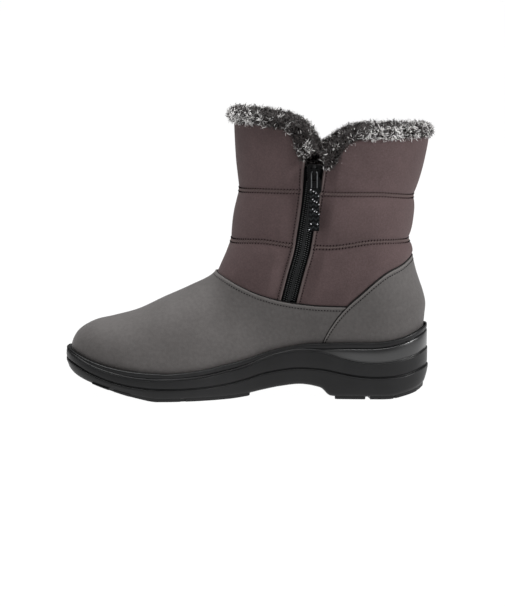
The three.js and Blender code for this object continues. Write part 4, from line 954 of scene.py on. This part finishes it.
def make_piping_and_gap_shadow():
    """A dark cord along the overlays' edges: a dark line in the joint at the counter, and at the vamp a
    painted shadow in the gap under its fold.
    """
    points, n = edge_line(counter_edge, angles_for(86, False, 400), -0.6, 1.3)
    tube("counter_piping", points, n, 0.68, PIPING_AND_GAP_SHADOW)
    # At the vamp the dark cord is a painted shadow in the gap under the fold.
    points, n = edge_line(vamp_edge, angles_for(66, True, 500), -0.45, 0.45)
    above = points[:, 2] > HEEL_SEAT + counter_edge(points[:, 0]) + 0.4
    tube("vamp_gap_shadow", points[above], n[above], 0.5, PIPING_AND_GAP_SHADOW)


# Sole
SOLE_SIDE = [
    ("tread", 0.0, -3.2, -3.2), ("tread", 1.0, -1.6, -1.2), ("tread", 3.2, -0.6, 0.0),
    ("groove", -2.4, 0.0, 0.5), ("groove", -0.75, 0.0, 0.5), ("groove", -0.3, -1.1, -1.0),
    ("groove", 0.25, -1.2, -1.2), ("groove", 0.9, -0.1, -0.3), ("groove", 2.0, 0.1, -0.1),
    ("crescent", -1.6, 0.0, 0.0), ("crescent", -0.5, -0.1, 0.0), ("crescent", 0.0, -0.5, -0.9),
    ("crescent", 0.5, -0.4, -1.1), ("crescent", 1.6, -0.2, -0.4), ("lip", -5.6, -0.4, -0.3),
    ("lip", -4.8, -0.6, -0.7), ("lip", -4.4, -1.5, -1.7), ("lip", -4.0, -1.5, -1.7),
    ("lip", -3.6, -0.7, -0.6), ("lip", -2.2, -0.6, -0.4), ("lip", -0.8, -0.7, -0.5),
    ("lip", -0.2, -1.1, -0.9)]
LIP_INNER = [(0.0, 0.6), (-0.25, 0.1), (-1.0, -0.1), (-4.0, -0.4)]  # rise, width short of the upper


def tread_top(f):
    return np.maximum(TREAD_DEPTH, arch_line(f))


def sole_edge(f, side):
    """Sideways place of the sole's outline."""
    return plan_width(f, side, 0.0, SOLE_LENGTH) * closing(1 - f / (HEEL_ROUND * SOLE_LENGTH), 2.1)


def sole_plan(a):
    f = SOLE_LENGTH * (1 - np.cos(a)) / 2
    return np.stack([f, sole_edge(f, np.where(np.sin(a) >= 0, -1.0, 1.0))], -1)


def sole_ring(a):
    """Outline points and their outward directions in plan."""
    along = sole_plan(a + 0.012) - sole_plan(a - 0.012)
    return sole_plan(a), unit(np.stack([along[:, 1], -along[:, 0]], -1))


def outwards(plan, n):
    """Directions turned so that they point away from the sole's middle."""
    return n * np.sign(((plan - np.array([120.0, 0.0])) * n).sum(1).mean())


def even_sole_angles(count):
    a = np.linspace(0, 2 * math.pi, 4001)
    points = sole_plan(a)
    steps = np.linalg.norm(np.diff(points, axis=0), axis=1)
    along = np.concatenate([[0], np.cumsum(steps)])
    return np.interp(np.linspace(0, along[-1], count + 1)[:-1], along, a)


def upper_inset(plan, n):
    """How far inside the sole's outline the covered upper stands at the height of the lip."""
    steps = np.arange(1.5, 16, 0.1)[:, None]
    f = plan[None, :, 0] - n[None, :, 0] * steps
    y = plan[None, :, 1] - n[None, :, 1] * steps
    z = lip_height(np.clip(f, 0, SOLE_LENGTH))
    side = np.where(y < middle_line(f, z), -1.0, 1.0)
    inside = side * (last_side(f, z, side) - y) > 0
    first = np.where(inside.any(0), inside.argmax(0), len(steps) - 1)
    layer = mix(COUNTER_LAYER, VAMP_LAYER, smooth(70, 90, plan[:, 0]))
    tuck = FEATHER_TUCK * 0.48 ** 2
    return steps[first, 0] - GAP - layer + tuck


def make_sole():
    a = even_sole_angles(420)
    plan, n = sole_ring(a)
    n = outwards(plan, n)
    lines = {"tread": tread_top, "groove": groove_line, "crescent": crescent_line, "lip": lip_height}
    heel = 1 - smooth(0.2 * SOLE_LENGTH, 0.33 * SOLE_LENGTH, plan[:, 0])
    rows = []
    polish = []
    for line, add, out, out_heel in SOLE_SIDE:
        push = mix(out, out_heel, heel)
        p = plan + n * push[:, None]
        z = lines[line](np.clip(p[:, 0], 0, SOLE_LENGTH)) + add
        rows.append(np.stack([p[:, 0], p[:, 1], z], -1))
        panel = (line == "crescent" and add > 0.4) or (line == "lip" and add < -4.5)
        shine = heel if panel else heel * 0
        polish.append(shine)
    inset = upper_inset(plan, n)
    for rise, short in LIP_INNER:
        p = plan - n * np.maximum(1.6, inset - short)[:, None]
        z = lip_height(np.clip(p[:, 0], 0, SOLE_LENGTH)) + rise
        rows.append(np.stack([p[:, 0], p[:, 1], z], -1))
        polish.append(heel * 0)
    grid = np.array(rows)
    polish = np.array(polish)
    # Refine between the profile's rows.
    fine = []
    fine_polish = []
    for r in range(len(grid) - 1):
        for t in (0.0, 0.5):
            fine.append(mix(grid[r], grid[r + 1], t))
            fine_polish.append(mix(polish[r], polish[r + 1], t))
    fine.append(grid[-1])
    fine_polish.append(polish[-1])
    grid = np.array(fine)
    faces = grid_faces(grid.shape[0], grid.shape[1], closed=True)
    verts = list(to_world(grid).reshape(-1, 3))
    shine = list(np.array(fine_polish).ravel())
    # Underside: rings that shrink towards the middle line.
    count = grid.shape[1]
    previous = list(range(count))
    base = grid[0]
    for share in (0.82, 0.6, 0.35, 0.1):
        ring = base.copy()
        ring[:, 1] = mix(ridge_line(ring[:, 0]) * 0.6, base[:, 1], share)
        mid = np.clip(ring[:, 0], 8, SOLE_LENGTH - 8)
        ring[:, 0] = mix(mid, base[:, 0], share)
        ring[:, 2] = tread_top(ring[:, 0])
        first = len(verts)
        verts += list(to_world(ring))
        shine += [0.0] * count
        for c in range(count):
            d = (c + 1) % count
            faces.append((previous[c], previous[d], first + d, first + c))
        previous = list(range(first, first + count))
    for c in range(1, count // 2):
        quad = (previous[c], previous[c + 1], previous[count - c - 1], previous[(count - c) % count])
        faces.append(quad)
    obj = make_object("unit_sole", verts, faces, RUBBER, attributes={"polish": shine})
    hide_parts("outsole")


def tread_grid(start, end, side, near, sweep=9.0, inset=4.4):
    """One lug as a grid seen from below, in a chevron, from the middle to the sole's edge."""
    half = BALL_WIDTH * 0.6
    columns = 9
    rows = 5
    grid = np.zeros((rows, columns, 2))
    for r in range(rows):
        f0 = mix(start, end, r / (rows - 1))
        for c in range(columns):
            y = near
            for _ in range(6):
                f = f0 + sweep * (1 - y / half)
                edge = abs(float(sole_edge(np.float64(f), np.float64(side))))
                y = mix(near, max(near + 0.5, edge - inset), c / (columns - 1))
            grid[r, c] = (f, side * y)
    return grid


def toe_fade(f, rise):
    """The tread grows thinner towards the toe."""
    return rise if rise > 0 else rise * float(mix(0.1, 1.0, smooth(256, 208, f)))


# Chevron lugs: start and end along the sole, count, groove, gap at the middle line
LUG_FIELDS = ((0.507, 0.955, 8, 3.4, 1.8), (0.02, 0.249, 4, 3.2, 0.0))
LUG_LAYERS = ((0.6, 1.0), (-0.7, 0.985), (-TREAD_DEPTH + 0.35, 0.97), (-TREAD_DEPTH, 0.93))  # rise, size
# Lugs along the edge: start and end, then their section as inset and rise
EDGE_LUGS = ((252, 214.5), (211, 187), (183, 136), (71, 48.5), (44.5, 27), (25.5, 9))
EDGE_LUG_SECTION = ((2.6, 0.6), (3.0, -TREAD_DEPTH + 0.35), (3.4, -TREAD_DEPTH + 0.1),
                    (8.5, -TREAD_DEPTH + 0.1), (8.9, 0.6))


def under_sole(f, y, rise):
    return (f, y, float(tread_top(np.float64(f))) + toe_fade(f, rise))


def add_lug(verts, faces, grid, side):
    """A chevron lug: its sides in layers, then its face."""
    rows, columns = grid.shape[:2]
    centre = grid.reshape(-1, 2).mean(0)
    border = ([(0, c) for c in range(columns)] + [(r, columns - 1) for r in range(1, rows)]
              + [(rows - 1, c) for c in range(columns - 2, -1, -1)]
              + [(r, 0) for r in range(rows - 2, 0, -1)])
    first = len(verts)
    for rise, size in LUG_LAYERS:
        for r, c in border:
            verts.append(under_sole(*(centre + (grid[r, c] - centre) * size), rise))
    n = len(border)
    for layer in range(3):
        for i in range(n):
            j = (i + 1) % n
            a = first + layer * n
            quad = (a + i, a + j, a + n + j, a + n + i)
            faces.append(quad if side < 0 else quad[::-1])
    cap = len(verts)
    rise, size = LUG_LAYERS[-1]
    for spot in grid.reshape(-1, 2):
        verts.append(under_sole(*(centre + (spot - centre) * size), rise))
    faces += grid_faces(rows, columns, flip=side < 0, first=cap)


def add_edge_lug(verts, faces, start, end, side, steps=14):
    f = np.linspace(start, end, steps)
    edge = sole_edge(f, np.full_like(f, side))
    first = len(verts)
    for inset, rise in EDGE_LUG_SECTION:
        verts += [under_sole(f[k], edge[k] - side * inset, rise) for k in range(steps)]
    faces += grid_faces(len(EDGE_LUG_SECTION), steps, flip=side > 0, first=first)
    for k in (0, steps - 1):
        cap = tuple(first + r * steps + k for r in range(len(EDGE_LUG_SECTION)))
        faces.append(cap if (side > 0) == (k == 0) else cap[::-1])


def make_tread():
    verts = []
    faces = []
    for start, end, count, groove, near in LUG_FIELDS:
        pitch = (end - start) * SOLE_LENGTH / count
        for k in range(count):
            low = start * SOLE_LENGTH + k * pitch - 9.0
            for side in (-1, 1):
                grid = tread_grid(low, low + pitch - groove, side, near)
                shift = float(ridge_line(np.float64(low))) * 0.6
                grid[..., 1] += shift if near > 0 else 0
                add_lug(verts, faces, grid, side)
    for start, end in EDGE_LUGS:
        for side in (-1, 1):
            add_edge_lug(verts, faces, start, end, side)
    make_object("tread_lugs", to_world(np.array(verts)), faces, RUBBER, smooth_shade=False,
                attributes={"polish": [0.0] * len(verts)})


# Footbed inside
def make_footbed():
    a = np.linspace(0, 2 * math.pi, 161)[:-1]
    f, z, side = last_point(np.zeros_like(a), a)
    plan = on_last(f, z, side)[:, :2]
    along = np.roll(plan, -1, 0) - np.roll(plan, 1, 0)
    n = outwards(plan, unit(np.stack([along[:, 1], -along[:, 0]], -1)))
    rings = []
    for inset, up in ((7.2, 0.4), (7.0, 3.0), (7.6, 4.6), (9.5, 5.4), (14.0, 5.0), (22.0, 4.2)):
        p = plan - n * inset
        p[:, 0] = np.clip(p[:, 0], plan[:, 0].min() + inset, plan[:, 0].max() - inset)
        rings.append(np.stack([p[:, 0], p[:, 1], seat_height(p[:, 0]) + up], -1))
    grid = np.array(rings)
    verts = list(to_world(grid).reshape(-1, 3))
    faces = grid_faces(grid.shape[0], grid.shape[1], closed=True)
    count = len(a)
    top = (grid.shape[0] - 1) * count
    for c in range(1, count // 2):
        faces.append((top + c, top + c + 1, top + count - c - 1, top + (count - c) % count)[::-1])
    obj = make_object("footbed", verts, faces, PLUSH)
    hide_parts("insole")


# Zip: heights above the floor
TAPE_SPAN = (73.2, 176.0)
FACING_SPAN = (71.5, 181.0)
FACING_STITCH_SPAN = (74.0, 174.0)
CHAIN_FOOT = 74.6


def zip_face(f, z, depth):
    return last_side(f, z, -1.0) + depth


def make_zip():
    z = np.linspace(*TAPE_SPAN, 150)
    up = z - HEEL_SEAT
    across = np.linspace(-1, 1, 15)
    middle = zip_middle(up)[:, None]
    half = (slot_half(up) - 0.2)[:, None]
    f = middle + half * across[None, :]
    zz = np.broadcast_to(z[:, None], f.shape)
    face = zip_face(f, zz, TAPE_DEPTH)
    tape = np.stack([f, face, zz], -1)
    obj = grid_object("tape_cloth", tape, TAPE)
    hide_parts("zip_tape")
    make_chain()


CHAIN_PITCH = 1.5
CHAIN_COLUMNS = ((-3.9, 0.45), (-2.0, -0.35), (2.0, 0.35), (3.9, -0.45))  # offset, lean


def make_chain():
    """A coil chain: four columns of short loops, its threads between them."""
    height = np.arange(CHAIN_FOOT, SLIDER_FOOT - 0.8, CHAIN_PITCH)
    places, along, up = [], [], []
    for column, (offset, lean) in enumerate(CHAIN_COLUMNS):
        z = height + (CHAIN_PITCH / 2 if column % 2 else 0)
        f = zip_middle(z - HEEL_SEAT) + offset
        y = zip_face(f, z, 0.75 if abs(offset) < 3 else 1.0)
        places.append(np.stack([f, y, z], -1))
        d = np.array([math.cos(lean), 0.0, math.sin(lean)])
        along.append(np.broadcast_to(d, (len(z), 3)))
        up.append(np.broadcast_to(OUTWARD, (len(z), 3)))
    # The loops' grey colour is a painted highlight on a black coil.
    verts, faces = oval_bars(np.concatenate(places), np.concatenate(along), np.concatenate(up),
                             1.5, 0.33, 0.0)
    obj = make_object("zip_chain", to_world(verts), [face[::-1] for face in faces], LIT_COIL)
    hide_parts("zip_teeth")
    z = np.linspace(CHAIN_FOOT - 1.0, SLIDER_FOOT - 0.6, 120)
    n = np.broadcast_to(OUTWARD, (len(z), 3))
    for name, offset, radius in (("left", -0.75, 0.28), ("middle", 0.0, 0.22), ("right", 0.75, 0.28)):
        f = zip_middle(z - HEEL_SEAT) + offset
        points = np.stack([f, zip_face(f, z, 0.5), z], -1)
        tube("chain_cord_" + name, points, n, radius, CORD)


# Section of the folded strip beside the zip: distance from the slot's edge, and depth
FACING_SECTION = ((0.05, 1.8), (-0.15, -0.2), (0.25, -0.25), (0.575, -0.5), (1.1, -0.45),
                  (1.55, -0.15), (1.7, 0.6))


def facing_strip(sign, name):
    """A narrow folded strip of cloth beside the zip."""
    z = np.linspace(*FACING_SPAN, 150)
    up = z - HEEL_SEAT
    edge = zip_middle(up) + sign * slot_half(up)
    rows = []
    for out, depth in FACING_SECTION:
        f = edge + sign * out
        rows.append(np.stack([f, zip_face(f, z, depth), z], -1))
    grid = np.stack(rows, 1)
    grid_object(name, grid[:, ::-1] if sign < 0 else grid, FACING)


def make_facings():
    for sign, name in ((1, "front"), (-1, "back")):
        facing_strip(sign, "facing_" + name)
        z = np.linspace(*FACING_STITCH_SPAN, 300)
        up = z - HEEL_SEAT
        f = zip_middle(up) + sign * (slot_half(up) + 2.6)
        points, n = surface_path(f, z, np.full_like(f, -1.0), np.full_like(f, 0.15))
        make_stitches("facing_stitches_" + name, [(points, n)], *FACING_STITCH, DARK_THREAD)


def ribbon(path, width, thickness, steps=8):
    """A flat band along a path of (y, z), with rounded edges."""
    path = np.array(path)
    tangent = np.gradient(path, axis=0)
    n = unit(np.stack([tangent[:, 1], -tangent[:, 0]], -1))
    rings = []
    for (y, z), (ny, nz) in zip(path, n):
        ring = []
        for k in range(4 * steps):
            angle = 2 * math.pi * k / (4 * steps)
            c = math.copysign(abs(math.cos(angle)) ** 0.35, math.cos(angle))
            s = math.copysign(abs(math.sin(angle)) ** 0.8, math.sin(angle))
            ring.append((PULL["f"] + c * width / 2, y + ny * s * thickness / 2, z + nz * s * thickness / 2))
        rings.append(ring)
    return np.array(rings)


STRAP_TOP = PULL["z"] - 15.3
STRAP_LENGTH = 30.0
STRAP_WIDTH = 7.6
STRAP_LAYER = 1.25
STRAP_SPREAD = 1.55  # from the pull's axis to the middle of each layer, at the top
PLAIT_PITCH = 1.7


def strap_closing(z):
    """How far each layer has come towards the other."""
    return 0.9 * smooth(0, 9, STRAP_TOP - z)


def strap_face(z):
    return PIVOT_Y - STRAP_SPREAD - STRAP_LAYER / 2 + strap_closing(z)


def make_strap():
    top = STRAP_TOP
    z = np.linspace(top - 1.5, top - STRAP_LENGTH, 60)
    front = np.stack([PIVOT_Y - STRAP_SPREAD + strap_closing(z), z], -1)
    back = np.stack([PIVOT_Y + STRAP_SPREAD - strap_closing(z), z], -1)
    arc = [(PIVOT_Y + STRAP_SPREAD * math.cos(t), top + 0.1 + 1.2 * math.sin(t))
           for t in np.linspace(0, math.pi, 14)]
    path = np.concatenate([back[::-1], np.array(arc), front])
    grid = ribbon(path, STRAP_WIDTH, STRAP_LAYER)
    obj = merge_grids("braid_strap", [grid], BRAID, body="pull")
    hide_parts("pull_strap")
    make_plaits(top)
    make_flecks()


# The bright threads: places along the foot and heights
FLECKS = ((89.9, 159.9), (87.8, 158.7), (86.2, 157.4), (84.1, 155.2), (88.5, 152.8), (87.1, 151.4),
          (85.5, 150.6), (83.8, 148.9), (88.5, 145.5), (87.1, 143.9), (85.5, 143.4), (83.8, 141.7),
          (89.7, 134.6), (84.8, 134.2), (91.0, 130.2))


def make_plaits(top):
    """The braid's strands on the front of the strap, leaning to and fro."""
    height = np.arange(top - 28.8, top - 1.5, PLAIT_PITCH)
    for name, material, skip in (("dark", BRAID, 0), ("grey", BRAID_LIGHT, 1)):
        places, along = [], []
        for column, offset in enumerate((-2.85, -0.95, 0.95, 2.85)):
            z = height[(column + skip) % 2::2] + (PLAIT_PITCH / 2 if column % 2 else 0)
            lean = 0.75 if column % 2 else -0.75
            places.append(np.stack([np.full_like(z, PULL["f"] + offset),
                                    strap_face(z) + 0.1, z], -1))
            d = np.array([math.cos(lean), 0.0, math.sin(lean)])
            along.append(np.broadcast_to(d, (len(z), 3)))
        places = np.concatenate(places)
        up = np.broadcast_to(OUTWARD, places.shape)
        verts, faces = oval_bars(places, np.concatenate(along), up, 2.5, 0.75, 0.0, 0.45)
        make_object("plaits_" + name, to_world(verts), [face[::-1] for face in faces],
                    material, body="pull")


def make_flecks():
    """Bright threads that show in slanting rows on the braid."""
    spots = np.array(FLECKS)
    places = np.stack([spots[:, 0], strap_face(spots[:, 1]) - 0.22, spots[:, 1]], -1)
    along = np.broadcast_to(np.array([0.8, 0.0, -0.6]), places.shape)
    up = np.broadcast_to(OUTWARD, places.shape)
    verts, faces = oval_bars(places, along, up, 1.0, 0.38, 0.0, 0.7)
    make_object("braid_flecks", to_world(verts), [face[::-1] for face in faces],
                FLECK, body="pull")


# Fur
def collar_edge(a):
    """The fabric's top edge at angle a."""
    front = SECTIONS[LAST][0]
    back = SECTIONS[LAST][2]
    f = mix(back, front, (1 - np.cos(a)) / 2)
    side = np.where(np.sin(a) >= 0, -1.0, 1.0)
    z = collar_height(f) - notch_dip(f, side)
    return on_last(f, z, side)


def fur_places(turn, count):
    """Places along the roll of fur, from the zip to the outer notch, each with its directions."""
    start = 1.83 if turn > 0 else 1.66
    reach = SECTIONS[LAST][0] - SECTIONS[LAST][2]
    meeting = math.acos(1 - 2 * (OUTER_NOTCH_MIDDLE - SECTIONS[LAST][2]) / reach)
    end = 2 * math.pi - meeting if turn > 0 else -meeting
    dense = collar_edge(np.linspace(start, end, 1500))
    steps = np.linalg.norm(np.diff(dense, axis=0), axis=1)
    along = np.concatenate([[0], np.cumsum(steps)])
    at = np.linspace(0, along[-1], count)

    def place(s):
        s = np.clip(s, 0, along[-1])
        return np.stack([np.interp(s, along, dense[:, k]) for k in range(3)], -1)
    point = place(at)
    reach = 0.02 * along[-1]
    tangent = unit(place(at + reach) - place(at - reach))
    middle = np.array([0.5 * SECTIONS[LAST][0], 0, 0])
    rough = (point - middle) * np.array([0.35, 1, 0])
    out = unit(rough - tangent * (rough * tangent).sum(1, keepdims=True))
    beyond = np.cross(out, tangent) if turn > 0 else np.cross(tangent, out)
    near = np.where(point[:, 1] < 0, 1 - smooth(0, 22, np.abs(point[:, 0] - dense[0, 0])), 0)
    half = FUR_HALF_HEIGHT + FUR_FILL * near
    roll = point + beyond * FUR_LIFT - out * WALL / 2
    return roll, out, beyond, half


def fur_surface(places, i, angle, share):
    roll, out, beyond, half = places
    return (roll[i] + out[i] * (np.cos(angle) * FUR_LAYER * share)[:, None]
            + beyond[i] * (np.sin(angle) * half[i] * share)[:, None])


CURL_LEAST = 1.2
CURL_MOST = 3.4


def curls(roots, directions, lengths, widths, pale, chance, segments=4):
    """Thin tapering ribbons that curl. Each has a tip value from 0 at its root to 1."""
    count = len(roots)
    bend = unit(np.cross(directions, chance.normal(size=(count, 3))))
    across = np.cross(directions, bend)
    tilt = chance.uniform(0, math.pi, count)[:, None]
    across = across * np.cos(tilt) + bend * np.sin(tilt)
    turn = chance.uniform(CURL_LEAST, CURL_MOST, count)[:, None]
    per = 2 * segments + 1
    verts = np.zeros((count, per, 3))
    tip = np.zeros((count, per))
    for s in range(segments + 1):
        t = s / segments
        reach = directions * np.sin(turn * t) / turn + bend * (1 - np.cos(turn * t)) / turn
        centre = roots + reach * lengths[:, None]
        width = (widths * (1 - 0.6 * t))[:, None]
        tip[:, 2 * s:2 * s + 2] = t
        if s < segments:
            verts[:, 2 * s] = centre - across * width
            verts[:, 2 * s + 1] = centre + across * width
        else:
            verts[:, 2 * s] = centre
    base = np.arange(count)[:, None] * per
    quads = [base + np.array([2 * s, 2 * s + 1, 2 * s + 3, 2 * s + 2]) for s in range(segments - 1)]
    tips = base + np.array([2 * segments - 2, 2 * segments - 1, 2 * segments])
    faces = np.concatenate(quads).tolist() + tips.tolist()
    return verts.reshape(-1, 3), faces, tip.ravel(), np.repeat(pale, per)


def fur_object(name, roots, directions, lengths, widths, pale, chance):
    verts, faces, tip, tone = curls(roots, directions, lengths, widths, pale, chance)
    make_object(name, to_world(verts), faces, FUR, attributes={"tip": tip, "pale": tone})


def pale_share(points, chance, base):
    """Pale tufts beside dark ones, paler towards both ends of the collar."""
    patch = soft_noise(points, 77, 0.8)
    broad = soft_noise(points, 78, 3.5)
    ends = smooth(14, 60, np.abs(points[:, 0] - 88.0))
    share = base - 0.08 + 0.38 * ends + 1.1 * patch + 0.5 * broad + 0.24 * chance.normal(size=len(points))
    return smooth(0.38, 0.52, share)


FUR_COUNT = 17000
LINING_COUNT = 13000


def make_fur():
    chance = np.random.default_rng(21)
    cores = []
    for turn, name in ((1, "front"), (-1, "back")):
        places = fur_places(turn, 150)
        angles = np.linspace(0, 2 * math.pi, 25)[:-1] * -turn
        cores.append(np.array([fur_surface(places, np.full(24, i), angles, 0.8)
                               for i in range(150)]))
        count = FUR_COUNT
        spread = fur_places(turn, 1200)
        i = chance.integers(4, 1199, count)
        angle = chance.uniform(-1.15, 4.3, count)
        roots = fur_surface(spread, i, angle, 0.76)
        away = unit(fur_surface(spread, i, angle, 2.0) - roots)
        tuft = np.stack([soft_noise(roots, 31 + k, 1.1) for k in range(3)], -1)
        direction = unit(away + tuft * 1.6 + chance.normal(size=(count, 3)) * 0.3)
        low = 0.14 * smooth(-0.1, -1.0, angle)
        # Fur turned towards the roll's inner side is made less pale: painted shade.
        start = np.where(roots[:, 1] < 0, 0.5, 1.8)
        inside = 0.36 * smooth(0, 0.8, angle - start)
        pale = pale_share(roots, chance, 0.14 + low - inside)
        fur_object("fur_" + name, roots, direction, chance.uniform(2.8, 5.8, count),
                   chance.uniform(0.2, 0.38, count), pale, chance)
    core = merge_grids("fur_core", cores, PLUSH)
    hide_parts("fur_collar")
    make_lining_fur(chance, LINING_COUNT)


def make_lining_fur(chance, count):
    """Plush inside the shaft, below the roll."""
    z = chance.uniform(150, 200, count)
    u = chance.uniform(0, 1, count)
    f, side = shaft_place(z, u)
    keep = z < collar_height(f) - notch_dip(f, side)
    f, z, side, u = f[keep], z[keep], side[keep], u[keep]
    points = on_last(f, z, side)
    f2, side2 = shaft_place(z, np.clip(u + 0.002, 0, 1))
    n = unit(np.cross(on_last(f2, z, side2) - points, UPWARD))
    roots = points - n * (WALL - 0.1)
    direction = unit(-n * 0.8 + chance.normal(size=n.shape) * 0.5)
    total = len(roots)
    fur_object("lining_fur", roots, direction, chance.uniform(3, 5.5, total),
               chance.uniform(0.15, 0.26, total), pale_share(roots, chance, -0.05), chance)


# Camera, floor and light
CAMERA_TARGET = Vector((-0.079, 0.0, 0.0687))
CAMERA_DISTANCE = 2.2
CAMERA_ELEVATION = math.radians(8.1)
LENS = 172.0


def make_camera():
    data = bpy.data.cameras.new("camera")
    data.lens = LENS
    data.sensor_width = 36.0
    data.sensor_fit = "AUTO"
    data.clip_end = 60
    camera = bpy.data.objects.new("camera", data)
    back = Vector((0, -math.cos(CAMERA_ELEVATION), math.sin(CAMERA_ELEVATION)))
    camera.location = CAMERA_TARGET + back * CAMERA_DISTANCE
    camera.rotation_euler = (-back).to_track_quat("-Z", "Y").to_euler()
    bpy.context.scene.collection.objects.link(camera)
    bpy.context.scene.camera = camera


FLOOR_HALF = 25.0
FLOOR_GLOW = 1.0  # a light table: the floor is lit from below as well


def make_floor():
    mesh = bpy.data.meshes.new("floor")
    corners = [(-FLOOR_HALF, -FLOOR_HALF, 0), (FLOOR_HALF, -FLOOR_HALF, 0),
               (FLOOR_HALF, FLOOR_HALF, 0), (-FLOOR_HALF, FLOOR_HALF, 0)]
    mesh.from_pydata(corners, [], [(0, 1, 2, 3)])
    floor = bpy.data.objects.new("floor", mesh)
    bpy.context.scene.collection.objects.link(floor)
    material, _, _, shader = new_material("floor")
    set_inputs(shader, {"Base Color": grey(0.04), "Roughness": 0.8, "Specular IOR Level": 0.0,
                        "Emission Color": grey(1), "Emission Strength": FLOOR_GLOW})
    mesh.materials.append(material)


def area_light(name, place, target, size, power):
    data = bpy.data.lights.new(name, "AREA")
    data.shape = "RECTANGLE"
    data.size = size[0]
    data.size_y = size[1]
    data.energy = power
    light = bpy.data.objects.new(name, data)
    light.location = place
    direction = Vector(target) - Vector(place)
    light.rotation_euler = direction.to_track_quat("-Z", "Y").to_euler()
    bpy.context.scene.collection.objects.link(light)


def make_lights():
    world = bpy.data.worlds.new("studio")
    bpy.context.scene.world = world
    world.use_nodes = True
    nodes = world.node_tree.nodes
    links = world.node_tree.links
    coords = nodes.new("ShaderNodeTexCoord")
    split = nodes.new("ShaderNodeSeparateXYZ")
    links.new(coords.outputs["Generated"], split.inputs["Vector"])
    walls = ramp(nodes, links, split.outputs["Z"], [
        (0.03, grey(0.95)), (0.07, grey(0.4)), (0.2, grey(0.17))])
    links.new(walls.outputs["Color"], nodes["Background"].inputs["Color"])
    middle = (-0.08, 0, 0.09)
    area_light("top", (-0.25, 0.0, 1.5), middle, (1.0, 0.8), 26)
    area_light("key", (1.5, -0.62, 1.1), middle, (0.7, 0.7), 31)
    bpy.context.scene.view_settings.view_transform = "Standard"


RIM_FOOT = 161.0
RIM_TOP = 172.0
RIM_HALF = 2.1
RIM_RADIUS = 0.42


def finish_small_metal():
    """Lacquer on the slider and the tab, whose solids stay, and the tab's raised rim in a brighter metal: a
    painted highlight along the tab's edges.
    """
    for name in ("zip_slider", "pull_tab"):
        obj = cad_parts[name]
        obj.data.materials.clear()
        obj.data.materials.append(LACQUER)
    low = np.array(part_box("pull_tab")[0])
    face = low[1] / MM - 0.1
    t = np.linspace(0, 1, 60)
    bend = math.pi * np.clip((t - 0.42) / 0.16, 0, 1)
    x = -RIM_HALF * np.cos(bend)
    z = np.where(t < 0.42, mix(RIM_FOOT, RIM_TOP, t / 0.42),
                 np.where(t > 0.58, mix(RIM_TOP, RIM_FOOT, (t - 0.58) / 0.42),
                          RIM_TOP + 1.5 * np.sin(bend)))
    points = np.stack([PULL["f"] + x, np.full_like(x, face), z], -1)
    n = np.broadcast_to(OUTWARD, points.shape)
    rim = tube("tab_highlight_rim", points, n, RIM_RADIUS, HIGHLIGHT_RIM)
    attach(rim, "pull")


make_camera()
make_floor()
make_lights()
make_shaft()
make_vamp()
make_counter()
make_all_stitches()
make_piping_and_gap_shadow()
make_sole()
make_tread()
make_footbed()
make_zip()
make_facings()
make_strap()
make_fur()
finish_small_metal()
